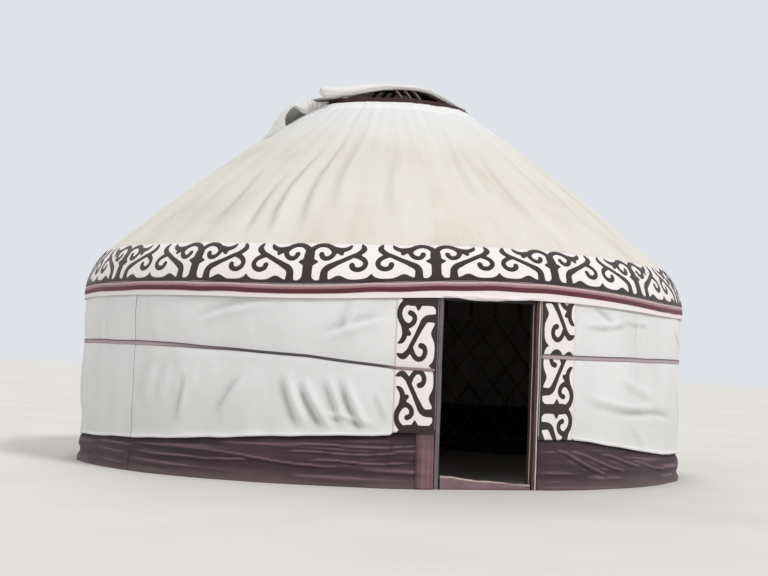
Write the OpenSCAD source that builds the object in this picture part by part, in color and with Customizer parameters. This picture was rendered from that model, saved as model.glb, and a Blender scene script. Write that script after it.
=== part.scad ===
// A felt and canvas yurt: a round lattice wall, bent roof poles, a domed crown ring and
// the covers over them. Millimetres, +Z up. The origin is on the ground at the middle of
// the floor, and the doorway looks along -Y. Angles round the wall are counted from the
// middle of the doorway towards +X.

/* [Wall] */
// Radius of the wall over its covers
wall_r = 3000; // [2700:50:3400]
// Height of the lattice wall
lattice_h = 1600; // [1400:20:1800]
// Thickness of the felt and canvas wall covers
cover_t = 22; // [16:1:28]
// Height of the top edge of the wall covers above the lattice
cover_rise = 35; // [20:5:60]
// Bottom edge of the wall covers beside the doorway
cover_foot_door = 450; // [380:10:500]
// Bottom edge of the wall covers at the sides and the back
cover_foot_side = 250; // [180:10:320]
// Distance to the side at which the sloping bottom edge reaches its lowest
cover_slope_x = 2600; // [2200:50:2650]

/* [Skirt] */
// Height of the dark cloth skirt, its top lies under the wall covers
skirt_h = 560; // [520:10:700]
// Thickness of the skirt
skirt_t = 8; // [5:1:12]

/* [Lattice] */
// Diamonds of the lattice round the wall, one roof pole stands over each
lattice_diamonds = 57; // [45:1:60]
// Half diamonds up the wall, an even number
lattice_rows = 8; // [6:2:8]
// Width of a lattice bar
bar_w = 28; // [22:1:34]
// Thickness of the lattice
lattice_t = 24; // [18:1:30]

/* [Door] */
// Clear width between the door posts
door_w = 820; // [700:10:950]
// Width of a door post seen from outside
post_w = 55; // [45:5:80]
// Depth of the door frame from outside to inside
post_d = 100; // [80:5:140]
// Height of the lintel between the posts
lintel_h = 45; // [35:5:80]
// Height of the worn sill at its left end
sill_left_h = 120; // [80:5:150]
// Height of the worn sill at its right end
sill_right_h = 50; // [30:5:90]

/* [Roof] */
// Slope of the straight part of the roof, in degrees
roof_slope = 37.3; // [32:0.1:41]
// Radius of the bend where the roof turns down into the wall
shoulder_r = 560; // [460:20:640]
// Radius of the opening at the top of the roof covers
crown_open_r = 760; // [680:20:860]
// Thickness of the roof covers
roof_t = 14; // [10:1:20]
// Height of the hem that hangs over the top of the wall
hem_h = 35; // [20:5:60]
// Radius of a roof pole
pole_r = 17; // [14:1:20]

/* [Crown] */
// Width of the crown ring, from its inner to its outer face
ring_w = 75; // [60:5:100]
// Height of the crown ring
ring_h = 100; // [80:5:120]
// Rise of the domed crown bars above the ring
dome_rise = 216; // [160:4:260]
// Number of crown bars in each of the two directions
dome_bars = 3; // [2:1:4]
// Distance between neighbouring crown bars
dome_step = 95; // [70:5:130]
// Width and height of a crown bar
dome_bar = 24; // [18:1:30]

/* [Crown cover] */
// Thickness of the cloth over the crown
flap_t = 12; // [8:1:18]
// Distance of its front edge from the middle of the crown
flap_front = 330; // [240:10:420]
// Reach of the cloth down the roof past the opening of the roof covers
flap_reach = 140; // [100:10:240]
// Length of the billowing fold down the left of the roof
fold_l = 330; // [240:10:400]
// Width of the fold
fold_w = 330; // [240:10:420]
// Radius of the thick end of the fold
fold_r = 62; // [45:1:75]

/* [Trim] */
// Lowest edge of the ornament band, measured up the roof from the top of the wall
band_low = 108; // [88:2:138]
// Highest edge of the ornament band, measured the same way
band_high = 484; // [390:2:510]
// Thickness of the ornament band and of the strips beside the door
band_t = 5; // [3:1:8]
// Lowest edge of the eave tape, measured up the roof from the top of the wall
tape_low = 20; // [10:1:30]
// Highest edge of the eave tape, measured the same way
tape_high = 68; // [48:1:80]
// Thickness of the eave tape
tape_t = 6; // [4:1:9]
// Width of the strips beside the door
strip_w = 330; // [260:10:380]
// Bottom edge of the strips beside the door
strip_foot = 470; // [450:10:540]
// Height of the wall belt round the sides and the back
belt_z = 1146; // [1000:10:1250]
// Height of the wall belt where it reaches the left side of the door
belt_z_door = 1000; // [900:10:1100]
// Width of the wall belt
belt_w = 32; // [24:2:45]
// Thickness of the wall belt
belt_t = 7; // [5:1:10]

/* [Hidden] */
$fn = 96;
// Small gap left where a flat frame meets the round wall
corner_gap = 4;
// Gap between the crown ring and the edge of the roof covers
ring_gap = 5;
// Space left over the crown bars for the cloth
dome_gap = 5;
// Steps along a bent pole and along the bend of the roof
bend_steps = 4;
// Sides of a roof pole
pole_sides = 6;

// Wall layers, from outside to inside
lattice_out_r = wall_r - cover_t;
lattice_in_r = lattice_out_r - lattice_t;
lattice_mid_r = (lattice_out_r + lattice_in_r) / 2;
skirt_out_r = lattice_out_r + skirt_t;
eave_z = lattice_h + cover_rise;
hem_z = eave_z - hem_h;
hem_r = wall_r + roof_t;

// Doorway
door_edge_x = door_w / 2 + post_w;
door_front_y = sqrt(pow(wall_r - corner_gap, 2) - pow(door_edge_x, 2));
door_a = asin(door_edge_x / lattice_in_r);
sector_a = (360 - 2 * door_a) / 6;

// Roof: the bend is an arc about bend_c, then a straight slope up to the crown
bend_c = [hem_r - shoulder_r, eave_z];
bend_a = 90 - roof_slope;
function on_bend(a, lift = 0) = bend_c + (shoulder_r + lift) * [cos(a), sin(a)];
function roof_z(r) = on_bend(bend_a)[1] + (on_bend(bend_a)[0] - r) * tan(roof_slope);
// A place at distance s up the roof from the top of the wall
function on_roof(s, lift = 0) =
    let (a = s / shoulder_r * 180 / PI)
    a <= bend_a ? on_bend(a, lift)
    : on_bend(bend_a, lift)
      + (a - bend_a) * PI / 180 * shoulder_r * [-cos(roof_slope), sin(roof_slope)];
slope_z = tan(roof_slope);

// Roof poles follow the bend inside the covers and stand on the lattice
pole_bend_r = shoulder_r - roof_t - pole_r;
pole_c = [lattice_mid_r - pole_bend_r,
          eave_z + (bend_c[0] - lattice_mid_r + pole_bend_r) * slope_z];
function pole_z(r) = roof_z(r) - (roof_t + pole_r) / cos(roof_slope);
pole_pitch = (360 - 2 * door_a) / lattice_diamonds;
pole_angles = [for (k = [1 : lattice_diamonds - 1]) door_a + k * pole_pitch];
door_pole_angles = [-door_a, -door_a / 3, door_a / 3, door_a];

// Crown
ring_out_r = crown_open_r - ring_gap;
ring_in_r = ring_out_r - ring_w;
ring_z = pole_z(ring_out_r);
ring_top = ring_z + ring_h / 2;
dome_r = (pow(ring_in_r, 2) + pow(dome_rise, 2)) / (2 * dome_rise);
dome_c = ring_top - dome_bar / 2 + dome_rise - dome_r;

// Lattice: half sizes of a crossing, on the unrolled wall
column_a = pole_pitch / 2;
column_w = lattice_mid_r * column_a * PI / 180;
// the steps up the wall leave room for half a crossing at the top and the bottom
row_guess = lattice_h / lattice_rows;
bar_a = atan2(row_guess, column_w);
cross_w = bar_w / 2 / sin(bar_a);
cross_h = bar_w / 2 / cos(bar_a);
row_h = (lattice_h - 2 * cross_h) / lattice_rows;

// Columns at which the lattice is joined, all even
lattice_cut = [for (k = [0 : 5]) 2 * round(k * lattice_diamonds / 5)];

// A place on a circle of radius r, at angle a from the doorway
function at(r, a, z) = [r * sin(a), -r * cos(a), z];

// Turns an outline in radius and height round the yurt from angle a0 through da
module sector(a0, da) {
    rotate([0, 0, a0 - 90]) rotate_extrude(angle = da, $fn = 240) children();
}

// Lattice wall. A crossing is a small rhombus with four outer and four inner corners,
// and a bar joins it to the crossing up and to the right and down and to the right.
function has_cross(c, j, c0, c1) =
    c >= c0 && c <= c1 && j >= 0 && j <= lattice_rows && (c + j) % 2 == 0;
function cross_index(c, j, c0) = 8 * (floor((c - c0) / 2) * (lattice_rows + 1)
    + ((c - c0) % 2) * (lattice_rows / 2 + 1) + floor(j / 2));
function cross_points(c, j, c0, c1) =
    let (a = door_a + c * column_a, z = cross_h + j * row_h,
         da = cross_w / lattice_mid_r * 180 / PI,
         left = c == c0 ? 0 : da, right = c == c1 ? 0 : da)
    [for (r = [lattice_out_r, lattice_in_r])
        each [at(r, a - left, z), at(r, a, z + cross_h),
              at(r, a + right, z), at(r, a, z - cross_h)]];
// Faces from corner p to corner q of one crossing or bar, closed by the inner corners
function edge_face(p, q) = [p, q, q + 4, p + 4];
function cross_faces(c, j, c0, c1) =
    let (i = cross_index(c, j, c0), l = i, t = i + 1, r = i + 2, b = i + 3)
    [[l, t, r], [l, r, b], [l + 4, b + 4, r + 4], [l + 4, r + 4, t + 4],
     each has_cross(c + 1, j + 1, c0, c1) ? bar_up(i, cross_index(c + 1, j + 1, c0))
        : [edge_face(r, t)],
     each has_cross(c + 1, j - 1, c0, c1) ? bar_down(i, cross_index(c + 1, j - 1, c0))
        : [edge_face(b, r)],
     if (!has_cross(c - 1, j - 1, c0, c1)) edge_face(l, b),
     if (!has_cross(c - 1, j + 1, c0, c1)) edge_face(t, l)];
function bar_up(p, q) = [[p + 1, q, q + 3, p + 2], [p + 6, q + 7, q + 4, p + 5],
    edge_face(q, p + 1), edge_face(p + 2, q + 3)];
function bar_down(p, q) = [[p + 2, q + 1, q, p + 3], [p + 7, q + 4, q + 5, p + 6],
    edge_face(q + 1, p + 2), edge_face(p + 3, q)];

module lattice(k) {
    c0 = lattice_cut[k];
    c1 = lattice_cut[k + 1];
    color("#b9825a") polyhedron(
        points = [for (c = [c0 : c1]) for (j = [0 : lattice_rows])
            if ((c + j) % 2 == 0) each cross_points(c, j, c0, c1)],
        faces = [for (c = [c0 : c1]) for (j = [0 : lattice_rows])
            if ((c + j) % 2 == 0) each cross_faces(c, j, c0, c1)]);
}

// Door frame
module door_post(side) {
    color("#51423f")
        translate([side > 0 ? door_w / 2 : -door_edge_x, -door_front_y, 0])
            cube([post_w, post_d, eave_z]);
}

module door_lintel() {
    color("#51423f") translate([-door_w / 2, -door_front_y, eave_z - lintel_h])
        cube([door_w, post_d, lintel_h]);
}

// The sill is worn lower towards the right
module door_sill() {
    color("#7d5050") translate([0, post_d - door_front_y, 0]) rotate([90, 0, 0])
        linear_extrude(post_d)
            polygon([[-door_w / 2, 0], [door_w / 2, 0], [door_w / 2, sill_right_h],
                     [-door_w / 2, sill_left_h]]);
}

// Roof poles. Each ring of corners has its middle c in radius and height, and m points
// from there to its outer corner.
function pole_rings(foot_z) = [
    [[lattice_mid_r, foot_z], [1, 0]],
    for (k = [0 : bend_steps])
        let (f = bend_a * k / bend_steps) [pole_c + pole_bend_r * [cos(f), sin(f)], [cos(f), sin(f)]],
    [[ring_out_r, pole_z(ring_out_r)], [0, 1 / cos(roof_slope)]]];
module pole(a, foot_z) {
    rings = pole_rings(foot_z);
    n = len(rings);
    points = [for (ring = rings) for (s = [0 : pole_sides - 1])
        let (t = 360 * s / pole_sides, rz = ring[0] + pole_r * cos(t) * ring[1],
             side = pole_r * sin(t))
        at(rz[0], a, rz[1]) + side * [cos(a), sin(a), 0]];
    faces = [[for (s = [pole_sides - 1 : -1 : 0]) s],
        for (k = [0 : n - 2]) for (s = [0 : pole_sides - 1])
            let (p = k * pole_sides, s1 = (s + 1) % pole_sides)
            [p + s, p + s1, p + s1 + pole_sides, p + s + pole_sides],
        [for (s = [0 : pole_sides - 1]) (n - 1) * pole_sides + s]];
    polyhedron(points = points, faces = faces);
}
// The poles whose angle lies from a0 to a1
module roof_poles(a0, a1) {
    color("#8e2f2a") {
        for (a = pole_angles) if (a >= a0 && a < a1) pole(a, lattice_h);
        for (a = pole_angles) if (a - 360 >= a0 && a - 360 < a1) pole(a, lattice_h);
        for (a = door_pole_angles) if (a >= a0 && a < a1) pole(a, eave_z);
    }
}

// Crown ring and its two crossing sets of bent bars
module crown_ring() {
    color("#7a2a26") rotate_extrude()
        translate([ring_in_r, ring_z - ring_h / 2]) square([ring_w, ring_h]);
}
module dome_bar_arc(offset) {
    translate([0, offset + dome_bar / 2, dome_c]) rotate([90, 0, 0])
        linear_extrude(dome_bar) difference() {
            circle(dome_r + dome_bar / 2, $fn = 360);
            circle(dome_r - dome_bar / 2, $fn = 360);
        }
}
module crown_bars() {
    first = -(dome_bars - 1) / 2 * dome_step;
    color("#7a2a26") intersection() {
        translate([0, 0, ring_z]) cylinder(r = ring_in_r, h = dome_rise + ring_h);
        union() {
            for (k = [0 : dome_bars - 1]) dome_bar_arc(first + k * dome_step);
            rotate([0, 0, 90])
                for (k = [0 : dome_bars - 1]) dome_bar_arc(first + k * dome_step);
        }
    }
}

// Dark cloth skirt round the foot of the wall
module skirt(k) {
    color("#4b1f2a") sector(door_a + k * sector_a, sector_a)
        translate([lattice_out_r, 0]) square([skirt_t, skirt_h]);
}

// Wall covers. Their lower part lies outside the skirt, and beside the doorway their
// bottom edge slopes down towards the sides.
module wall_cover_sheet(k) {
    sector(door_a + k * sector_a, sector_a)
        polygon([[skirt_out_r, cover_foot_side], [wall_r, cover_foot_side], [wall_r, eave_z],
                 [lattice_out_r, eave_z], [lattice_out_r, skirt_h], [skirt_out_r, skirt_h]]);
}
module sloping_edge(side) {
    drop = cover_foot_door - cover_foot_side;
    run = cover_slope_x - door_edge_x;
    translate([side * door_edge_x, 0, cover_foot_door]) rotate([0, side * atan(drop / run), 0])
        translate([-wall_r, -wall_r, -wall_r]) cube([2 * wall_r, 2 * wall_r, wall_r]);
}
module wall_cover(k) {
    color("#f1efec")
        if (k == 0 || k == 5) difference() {
            wall_cover_sheet(k);
            sloping_edge(k == 0 ? 1 : -1);
        }
        else wall_cover_sheet(k);
}

// Roof covers: a hem, the bend and the straight slope, in sixths of the circle
module roof_outline() {
    polygon([[hem_r, hem_z],
        for (k = [0 : 2 * bend_steps]) on_bend(bend_a * k / (2 * bend_steps)),
        [crown_open_r, roof_z(crown_open_r)],
        [crown_open_r, roof_z(crown_open_r) - roof_t / cos(roof_slope)],
        for (k = [2 * bend_steps : -1 : 0]) on_bend(bend_a * k / (2 * bend_steps), -roof_t),
        [wall_r, hem_z]]);
}
module roof_cover(k) {
    color("#ebe7dd") sector(k * 60 - 30, 60) roof_outline();
}

// A band of thickness t that lies on the roof from distance s0 to s1 up from the wall
module roof_band(s0, s1, t) {
    steps = 6;
    rotate_extrude($fn = 240) polygon([
        for (k = [0 : steps]) on_roof(s0 + (s1 - s0) * k / steps),
        for (k = [steps : -1 : 0]) on_roof(s0 + (s1 - s0) * k / steps, t)]);
}
module ornament_band() { color("#3a2d2b") roof_band(band_low, band_high, band_t); }
module eave_tape() { color("#6e2a38") roof_band(tape_low, tape_high, tape_t); }

// Woven belt pulled round the wall covers. On the left it drops towards the doorway.
strip_a = door_a + strip_w / wall_r * 180 / PI;
belt_join_a = 60;
module belt_sheet(a0, da, z0, z1) {
    sector(a0, da) translate([wall_r, z0]) square([belt_t, z1 - z0]);
}
module wall_belt_back() {
    color("#6b5a62") belt_sheet(strip_a, 360 - strip_a - belt_join_a, belt_z, belt_z + belt_w);
}
module wall_belt_front() {
    rise = belt_z - belt_z_door;
    run = wall_r * sin(belt_join_a) - door_edge_x;
    color("#6b5a62") intersection() {
        belt_sheet(-belt_join_a, belt_join_a - strip_a, belt_z_door - belt_w, belt_z + 2 * belt_w);
        translate([-wall_r * sin(belt_join_a), 0, belt_z]) rotate([0, atan(rise / run), 0])
            translate([-wall_r, -2 * wall_r, 0]) cube([3 * wall_r, 3 * wall_r, belt_w]);
    }
}

// Ornamented felt strips on both sides of the door frame
module door_strip(side) {
    color("#efe9e4")
        sector(side > 0 ? door_a : -strip_a, strip_a - door_a)
            translate([wall_r, strip_foot]) square([band_t, hem_z - strip_foot]);
}

// Cloth over the crown: a domed sheet with a straight front edge, which lies on the roof
// covers past the ring
flap_rings = [0.27, 0.52, 0.76, 0.92];
flap_steps = 48;
flap_r = crown_open_r + flap_reach;
function flap_edge(a) = cos(a) > flap_front / flap_r ? flap_front / cos(a) : flap_r;
function flap_radii(a) =
    let (e = flap_edge(a),
         want = [for (f = flap_rings) f * ring_in_r, ring_in_r, crown_open_r + 2,
                 crown_open_r + flap_reach / 3, flap_r],
         n = len(want))
    [for (k = [0 : n - 1]) min(want[k], e - (n - 1 - k) * 8)];
function flap_under(r) =
    r <= ring_in_r ? dome_c + sqrt(pow(dome_r + dome_bar / 2 + dome_gap, 2) - pow(r, 2))
    : r < crown_open_r + 4 ? ring_top + 3
    : roof_z(r);
module crown_cover() {
    n = len(flap_rings) + 4;
    m = flap_steps * n;
    side = [for (i = [0 : flap_steps - 1]) let (a = 360 * i / flap_steps)
        for (r = flap_radii(a)) at(r, a, flap_under(r))];
    points = [each side, for (p = side) p + [0, 0, flap_t],
        [0, 0, flap_under(0)], [0, 0, flap_under(0) + flap_t]];
    faces = [for (i = [0 : flap_steps - 1])
        let (p = i * n, q = ((i + 1) % flap_steps) * n) each [
            [2 * m, q, p], [2 * m + 1, p + m, q + m],
            for (k = [0 : n - 2]) each [
                [p + k, q + k, q + k + 1, p + k + 1],
                [p + m + k + 1, q + m + k + 1, q + m + k, p + m + k]],
            [p + n - 1, q + n - 1, q + m + n - 1, p + m + n - 1]]];
    color("#e9e5dc") polyhedron(points = points, faces = faces);
}
// The slack of that cloth stands up in a fold on the left slope
fold_a = -108;
module fold_ball(r, side, ball_r) {
    translate([0, 0, roof_z(r)]) translate(at(r, fold_a, 0))
        translate(ball_r * [slope_part(0), slope_part(1), cos(roof_slope)])
            translate(side * [cos(fold_a), sin(fold_a), 0]) sphere(ball_r, $fn = 24);
}
function slope_part(i) = at(sin(roof_slope), fold_a, 0)[i];
module crown_cover_fold() {
    far_r = fold_r * 0.45;
    near = flap_r + fold_r;
    far = flap_r + fold_l - far_r;
    color("#e3dfd6") hull() {
        fold_ball(near, -fold_w / 2 + fold_r, fold_r);
        fold_ball(near, fold_w / 2 - fold_r, fold_r);
        fold_ball(far, -fold_w / 4, far_r);
        fold_ball(far, fold_w / 4, far_r);
    }
}

lattice(0);  // lattice_front_right
lattice(1);  // lattice_right
lattice(2);  // lattice_back
lattice(3);  // lattice_left
lattice(4);  // lattice_front_left
door_post(-1);  // door_post_left
door_post(1);  // door_post_right
door_lintel();
door_sill();
roof_poles(-45, 45);  // roof_poles_front
roof_poles(45, 135);  // roof_poles_right
roof_poles(135, 225);  // roof_poles_back
roof_poles(225, 315);  // roof_poles_left
crown_ring();
crown_bars();
skirt(0);  // skirt_front_right
skirt(1);  // skirt_right
skirt(2);  // skirt_back_right
skirt(3);  // skirt_back_left
skirt(4);  // skirt_left
skirt(5);  // skirt_front_left
wall_cover(0);  // wall_cover_front_right
wall_cover(1);  // wall_cover_right
wall_cover(2);  // wall_cover_back_right
wall_cover(3);  // wall_cover_back_left
wall_cover(4);  // wall_cover_left
wall_cover(5);  // wall_cover_front_left
roof_cover(0);  // roof_cover_front
roof_cover(1);  // roof_cover_front_right
roof_cover(2);  // roof_cover_back_right
roof_cover(3);  // roof_cover_back
roof_cover(4);  // roof_cover_back_left
roof_cover(5);  // roof_cover_front_left
ornament_band();
eave_tape();
wall_belt_front();
wall_belt_back();
door_strip(-1);  // door_strip_left
door_strip(1);  // door_strip_right
crown_cover();
crown_cover_fold();
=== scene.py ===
# %% [markdown]
# A yurt is a round tent: a lattice wall, bent poles and a domed crown ring carry covers of
# felt and canvas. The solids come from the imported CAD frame. This script dresses them, and
# it starts by loading that frame and keeping the box that the solids fill.

# %% Load the frame
from math import cos, pi, radians, sin, sqrt, tan
import bmesh
import bpy
import numpy as np
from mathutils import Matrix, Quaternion, Vector


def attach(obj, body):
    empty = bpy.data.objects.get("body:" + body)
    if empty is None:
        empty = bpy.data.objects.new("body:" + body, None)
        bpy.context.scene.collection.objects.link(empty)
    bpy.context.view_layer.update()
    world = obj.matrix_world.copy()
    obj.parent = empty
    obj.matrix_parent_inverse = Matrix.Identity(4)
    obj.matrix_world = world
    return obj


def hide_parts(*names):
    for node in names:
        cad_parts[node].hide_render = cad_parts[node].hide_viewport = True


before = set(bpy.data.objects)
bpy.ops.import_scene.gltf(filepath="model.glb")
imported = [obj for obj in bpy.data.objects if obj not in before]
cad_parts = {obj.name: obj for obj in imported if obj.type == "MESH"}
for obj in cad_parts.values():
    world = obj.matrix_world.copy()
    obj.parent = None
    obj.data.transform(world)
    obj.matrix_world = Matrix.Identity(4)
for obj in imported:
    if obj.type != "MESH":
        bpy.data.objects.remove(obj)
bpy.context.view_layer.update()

# %% [markdown]
# Every place on a yurt is easiest to name by its distance from the middle, its angle from
# the doorway and its height. The sizes repeat those of the CAD source, in metres.

# %% Sizes of the frame and a place on a circle
WALL_R = 3.0
LATTICE_H = 1.6
EAVE_Z = 1.635
BEND_R = 0.56
ROOF_SLOPE = radians(37.3)
BEND_END = pi / 2 - ROOF_SLOPE
HEM_R = 3.014
BEND_C = HEM_R - BEND_R
CROWN_R = 0.76
DOOR_A = 9.06


def at(r, a, z):
    """Places at distance r, angle a in degrees from the doorway and height z."""
    r, a, z = np.broadcast_arrays(r, np.radians(a), z)
    return np.stack([r * np.sin(a), -r * np.cos(a), z], axis=-1)


def signed(a):
    """An angle in degrees as -180 to 180."""
    return (a + 180) % 360 - 180


def from_door(a):
    """How many degrees an angle lies from the middle of the doorway."""
    return np.abs(signed(a))


print("the doorway's middle is at", at(WALL_R, 0, 0).round(2))

# %% [markdown]
# Cloth is never quite even. A soft noise gives each sheet its slow waves. It is made from
# a seeded table of random numbers, so every run bends the cloth the same way, and it can
# close on itself where a sheet goes all round. Folds and hems are soft ridges.

# %% Soft shapes for cloth
def smooth(x):
    """0 below 0, 1 above 1 and a soft rise between."""
    x = np.clip(x, 0, 1)
    return x * x * (3 - 2 * x)


def ridge(x, half, power=2):
    """1 at x = 0, and little past the half width. A higher power gives it a flat top."""
    return np.exp(-(x / half) ** power)


def soft_noise(x, y, seed, around=64):
    """Smooth numbers from -1 to 1, with about one lump per unit of x and y."""
    table = np.random.default_rng(seed).uniform(-1, 1, (around, 64))
    i, j = np.floor(x).astype(int), np.floor(y).astype(int)
    fx, fy = smooth(x - i), smooth(y - j)
    low, high = (table[i % around, k % 64] * (1 - fx) + table[(i + 1) % around, k % 64] * fx
                 for k in (j, j + 1))
    return low * (1 - fy) + high * fy


def round_noise(a, lump, y, seed):
    """The same noise round the tent, closed on itself, with a lump every so many degrees."""
    return soft_noise(a % 360 / lump, y, seed, round(360 / lump))


print("noise at three places", soft_noise(np.array([0.2, 0.7, 1.2]), 0.5, 11).round(2))

# %% [markdown]
# The photograph was taken from eye height at a short distance, a little to the left of the
# doorway, with the camera held a few degrees out of level. The same place, turn and roll
# are used here.

# %% Camera
EYE_DISTANCE, EYE_TURN, EYE_HEIGHT, EYE_ROLL = 16.42, -18.05, 1.105, 2.05
LOOK_HEIGHT, LENS_MM = 1.80, 75


def add_object(name, data, *materials):
    """Puts a mesh, a lamp or a camera into the scene, with these materials."""
    made = bpy.data.objects.new(name, data)
    for material in materials:
        data.materials.append(material)
    bpy.context.collection.objects.link(made)
    return made


camera = add_object("camera", bpy.data.cameras.new("camera"))
camera.location = at(EYE_DISTANCE, EYE_TURN, EYE_HEIGHT)
look = Vector((0.0, 0.0, LOOK_HEIGHT)) - camera.location
camera.rotation_mode = "QUATERNION"
camera.rotation_quaternion = (look.to_track_quat("-Z", "Y")
                              @ Quaternion((0, 0, 1), radians(EYE_ROLL)))
camera.data.lens = LENS_MM
camera.data.clip_end = 500
bpy.context.scene.camera = camera
print("camera at", [round(v, 2) for v in camera.location])

# %% [markdown]
# A material is a small tree of nodes. One helper adds a node with its settings and links,
# and one turns the hex colours that people read into the linear ones that light needs.

# %% Helpers for materials
# the scale at which a wave texture has one band in a metre
ONE_BAND = 2 * pi / 20


def linear(code):
    """A colour written as sRGB hex, as linear red, green, blue and alpha."""
    parts = [int(code[k:k + 2], 16) / 255 for k in (1, 3, 5)]
    return [c / 12.92 if c <= 0.04045 else ((c + 0.055) / 1.055) ** 2.4 for c in parts] + [1.0]


def node(tree, kind, inputs=None, stops=(), **settings):
    """Adds a node. An input is a value, an output that it is linked to, or a node whose
    first output it is linked to. stops are the places and hex colours of a colour ramp."""
    made = tree.nodes.new(kind)
    for name, value in settings.items():
        setattr(made, name, value)
    for name, value in (inputs or {}).items():
        if isinstance(value, bpy.types.Node):
            value = value.outputs[0]
        if isinstance(value, bpy.types.NodeSocket):
            tree.links.new(value, made.inputs[name])
        else:
            made.inputs[name].default_value = value
    if stops:
        elements = made.color_ramp.elements
        while len(elements) < len(stops):
            elements.new(0.5)
        for element, (place, code) in zip(elements, stops):
            element.position = place
            element.color = linear(code)
    return made


def new_material(name):
    """An empty material with its tree, ready for nodes."""
    made = bpy.data.materials.new(name)
    made.use_nodes = True
    made.node_tree.nodes.clear()
    return made, made.node_tree


def mottled_material(name, kind, pattern, stops, rough, **settings):
    """A small or distant surface: one texture, of a kind and pattern, mixes its tones."""
    made, tree = new_material(name)
    place = node(tree, "ShaderNodeTexCoord").outputs["Object"]
    spots = node(tree, kind, {"Vector": place, **pattern}, **settings).outputs["Fac"]
    tone = node(tree, "ShaderNodeValToRGB", {"Fac": spots}, stops=stops)
    shader = node(tree, "ShaderNodeBsdfPrincipled", {"Base Color": tone, "Roughness": rough})
    node(tree, "ShaderNodeOutputMaterial", {"Surface": shader})
    return made


print("a middle grey in light", [round(c, 3) for c in linear("#808080")])

# %% [markdown]
# The floor and the backdrop are a plain pale stage. The world shows pale to the camera and
# gives soft light to the rest, and three wide suns light the tent from the front right, from
# the left and from behind, so every side can be judged.

# %% Stage and light
FLOOR_R = 90
scene = bpy.context.scene
scene.view_settings.view_transform = "Standard"

floor_mesh = bpy.data.meshes.new("floor")
shape = bmesh.new()
bmesh.ops.create_circle(shape, cap_ends=True, radius=FLOOR_R, segments=64)
shape.to_mesh(floor_mesh)
shape.free()
# a smooth screed: matt, in two close greys with patches of about two metres
screed = mottled_material("pale_floor", "ShaderNodeTexNoise", {"Scale": 0.6, "Detail": 3.0},
                          [(0.3, "#d3d0ca"), (0.7, "#dad7d1")], 0.9)
add_object("floor", floor_mesh, screed)

scene.world = bpy.data.worlds.new("studio")
scene.world.use_nodes = True
tree = scene.world.node_tree
tree.nodes.clear()
path = node(tree, "ShaderNodeLightPath")
soft = node(tree, "ShaderNodeBackground", {"Color": linear("#f1f2f5"), "Strength": 0.60})
seen = node(tree, "ShaderNodeBackground", {"Color": linear("#dfe3e8"), "Strength": 1.0})
shown = node(tree, "ShaderNodeMath", {0: path.outputs["Is Camera Ray"],
                                      1: path.outputs["Is Glossy Ray"]}, operation="MAXIMUM")
both = node(tree, "ShaderNodeMixShader", {0: shown, 1: soft, 2: seen})
node(tree, "ShaderNodeOutputWorld", {"Surface": both})

# each sun has a strength, an angle round the doorway, a height and a spread in degrees
for name, strength, turn, height, spread in (
        ("key", 1.56, 25, 44, 14), ("fill", 0.40, -62, 34, 50), ("back", 0.70, 170, 40, 40)):
    sun = bpy.data.lights.new(name, "SUN")
    sun.energy, sun.angle = strength, radians(spread)
    lamp = add_object(name, sun)
    lamp.rotation_mode = "QUATERNION"
    direction = at(cos(radians(height)), turn, sin(radians(height)))
    lamp.rotation_quaternion = Vector(direction).to_track_quat("Z", "Y")

# %% [markdown]
# The covers are cotton canvas over felt, and the trim is felt and woven tape. All of them
# are threads or fibres, so one recipe serves: two close tones in slow patches and in
# streaks that run down the cloth, a weave drawn a few millimetres coarse so that it can
# show at all, and a soft sheen. The sheet's own UV map is in metres, so every scale is a
# real size.

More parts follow.
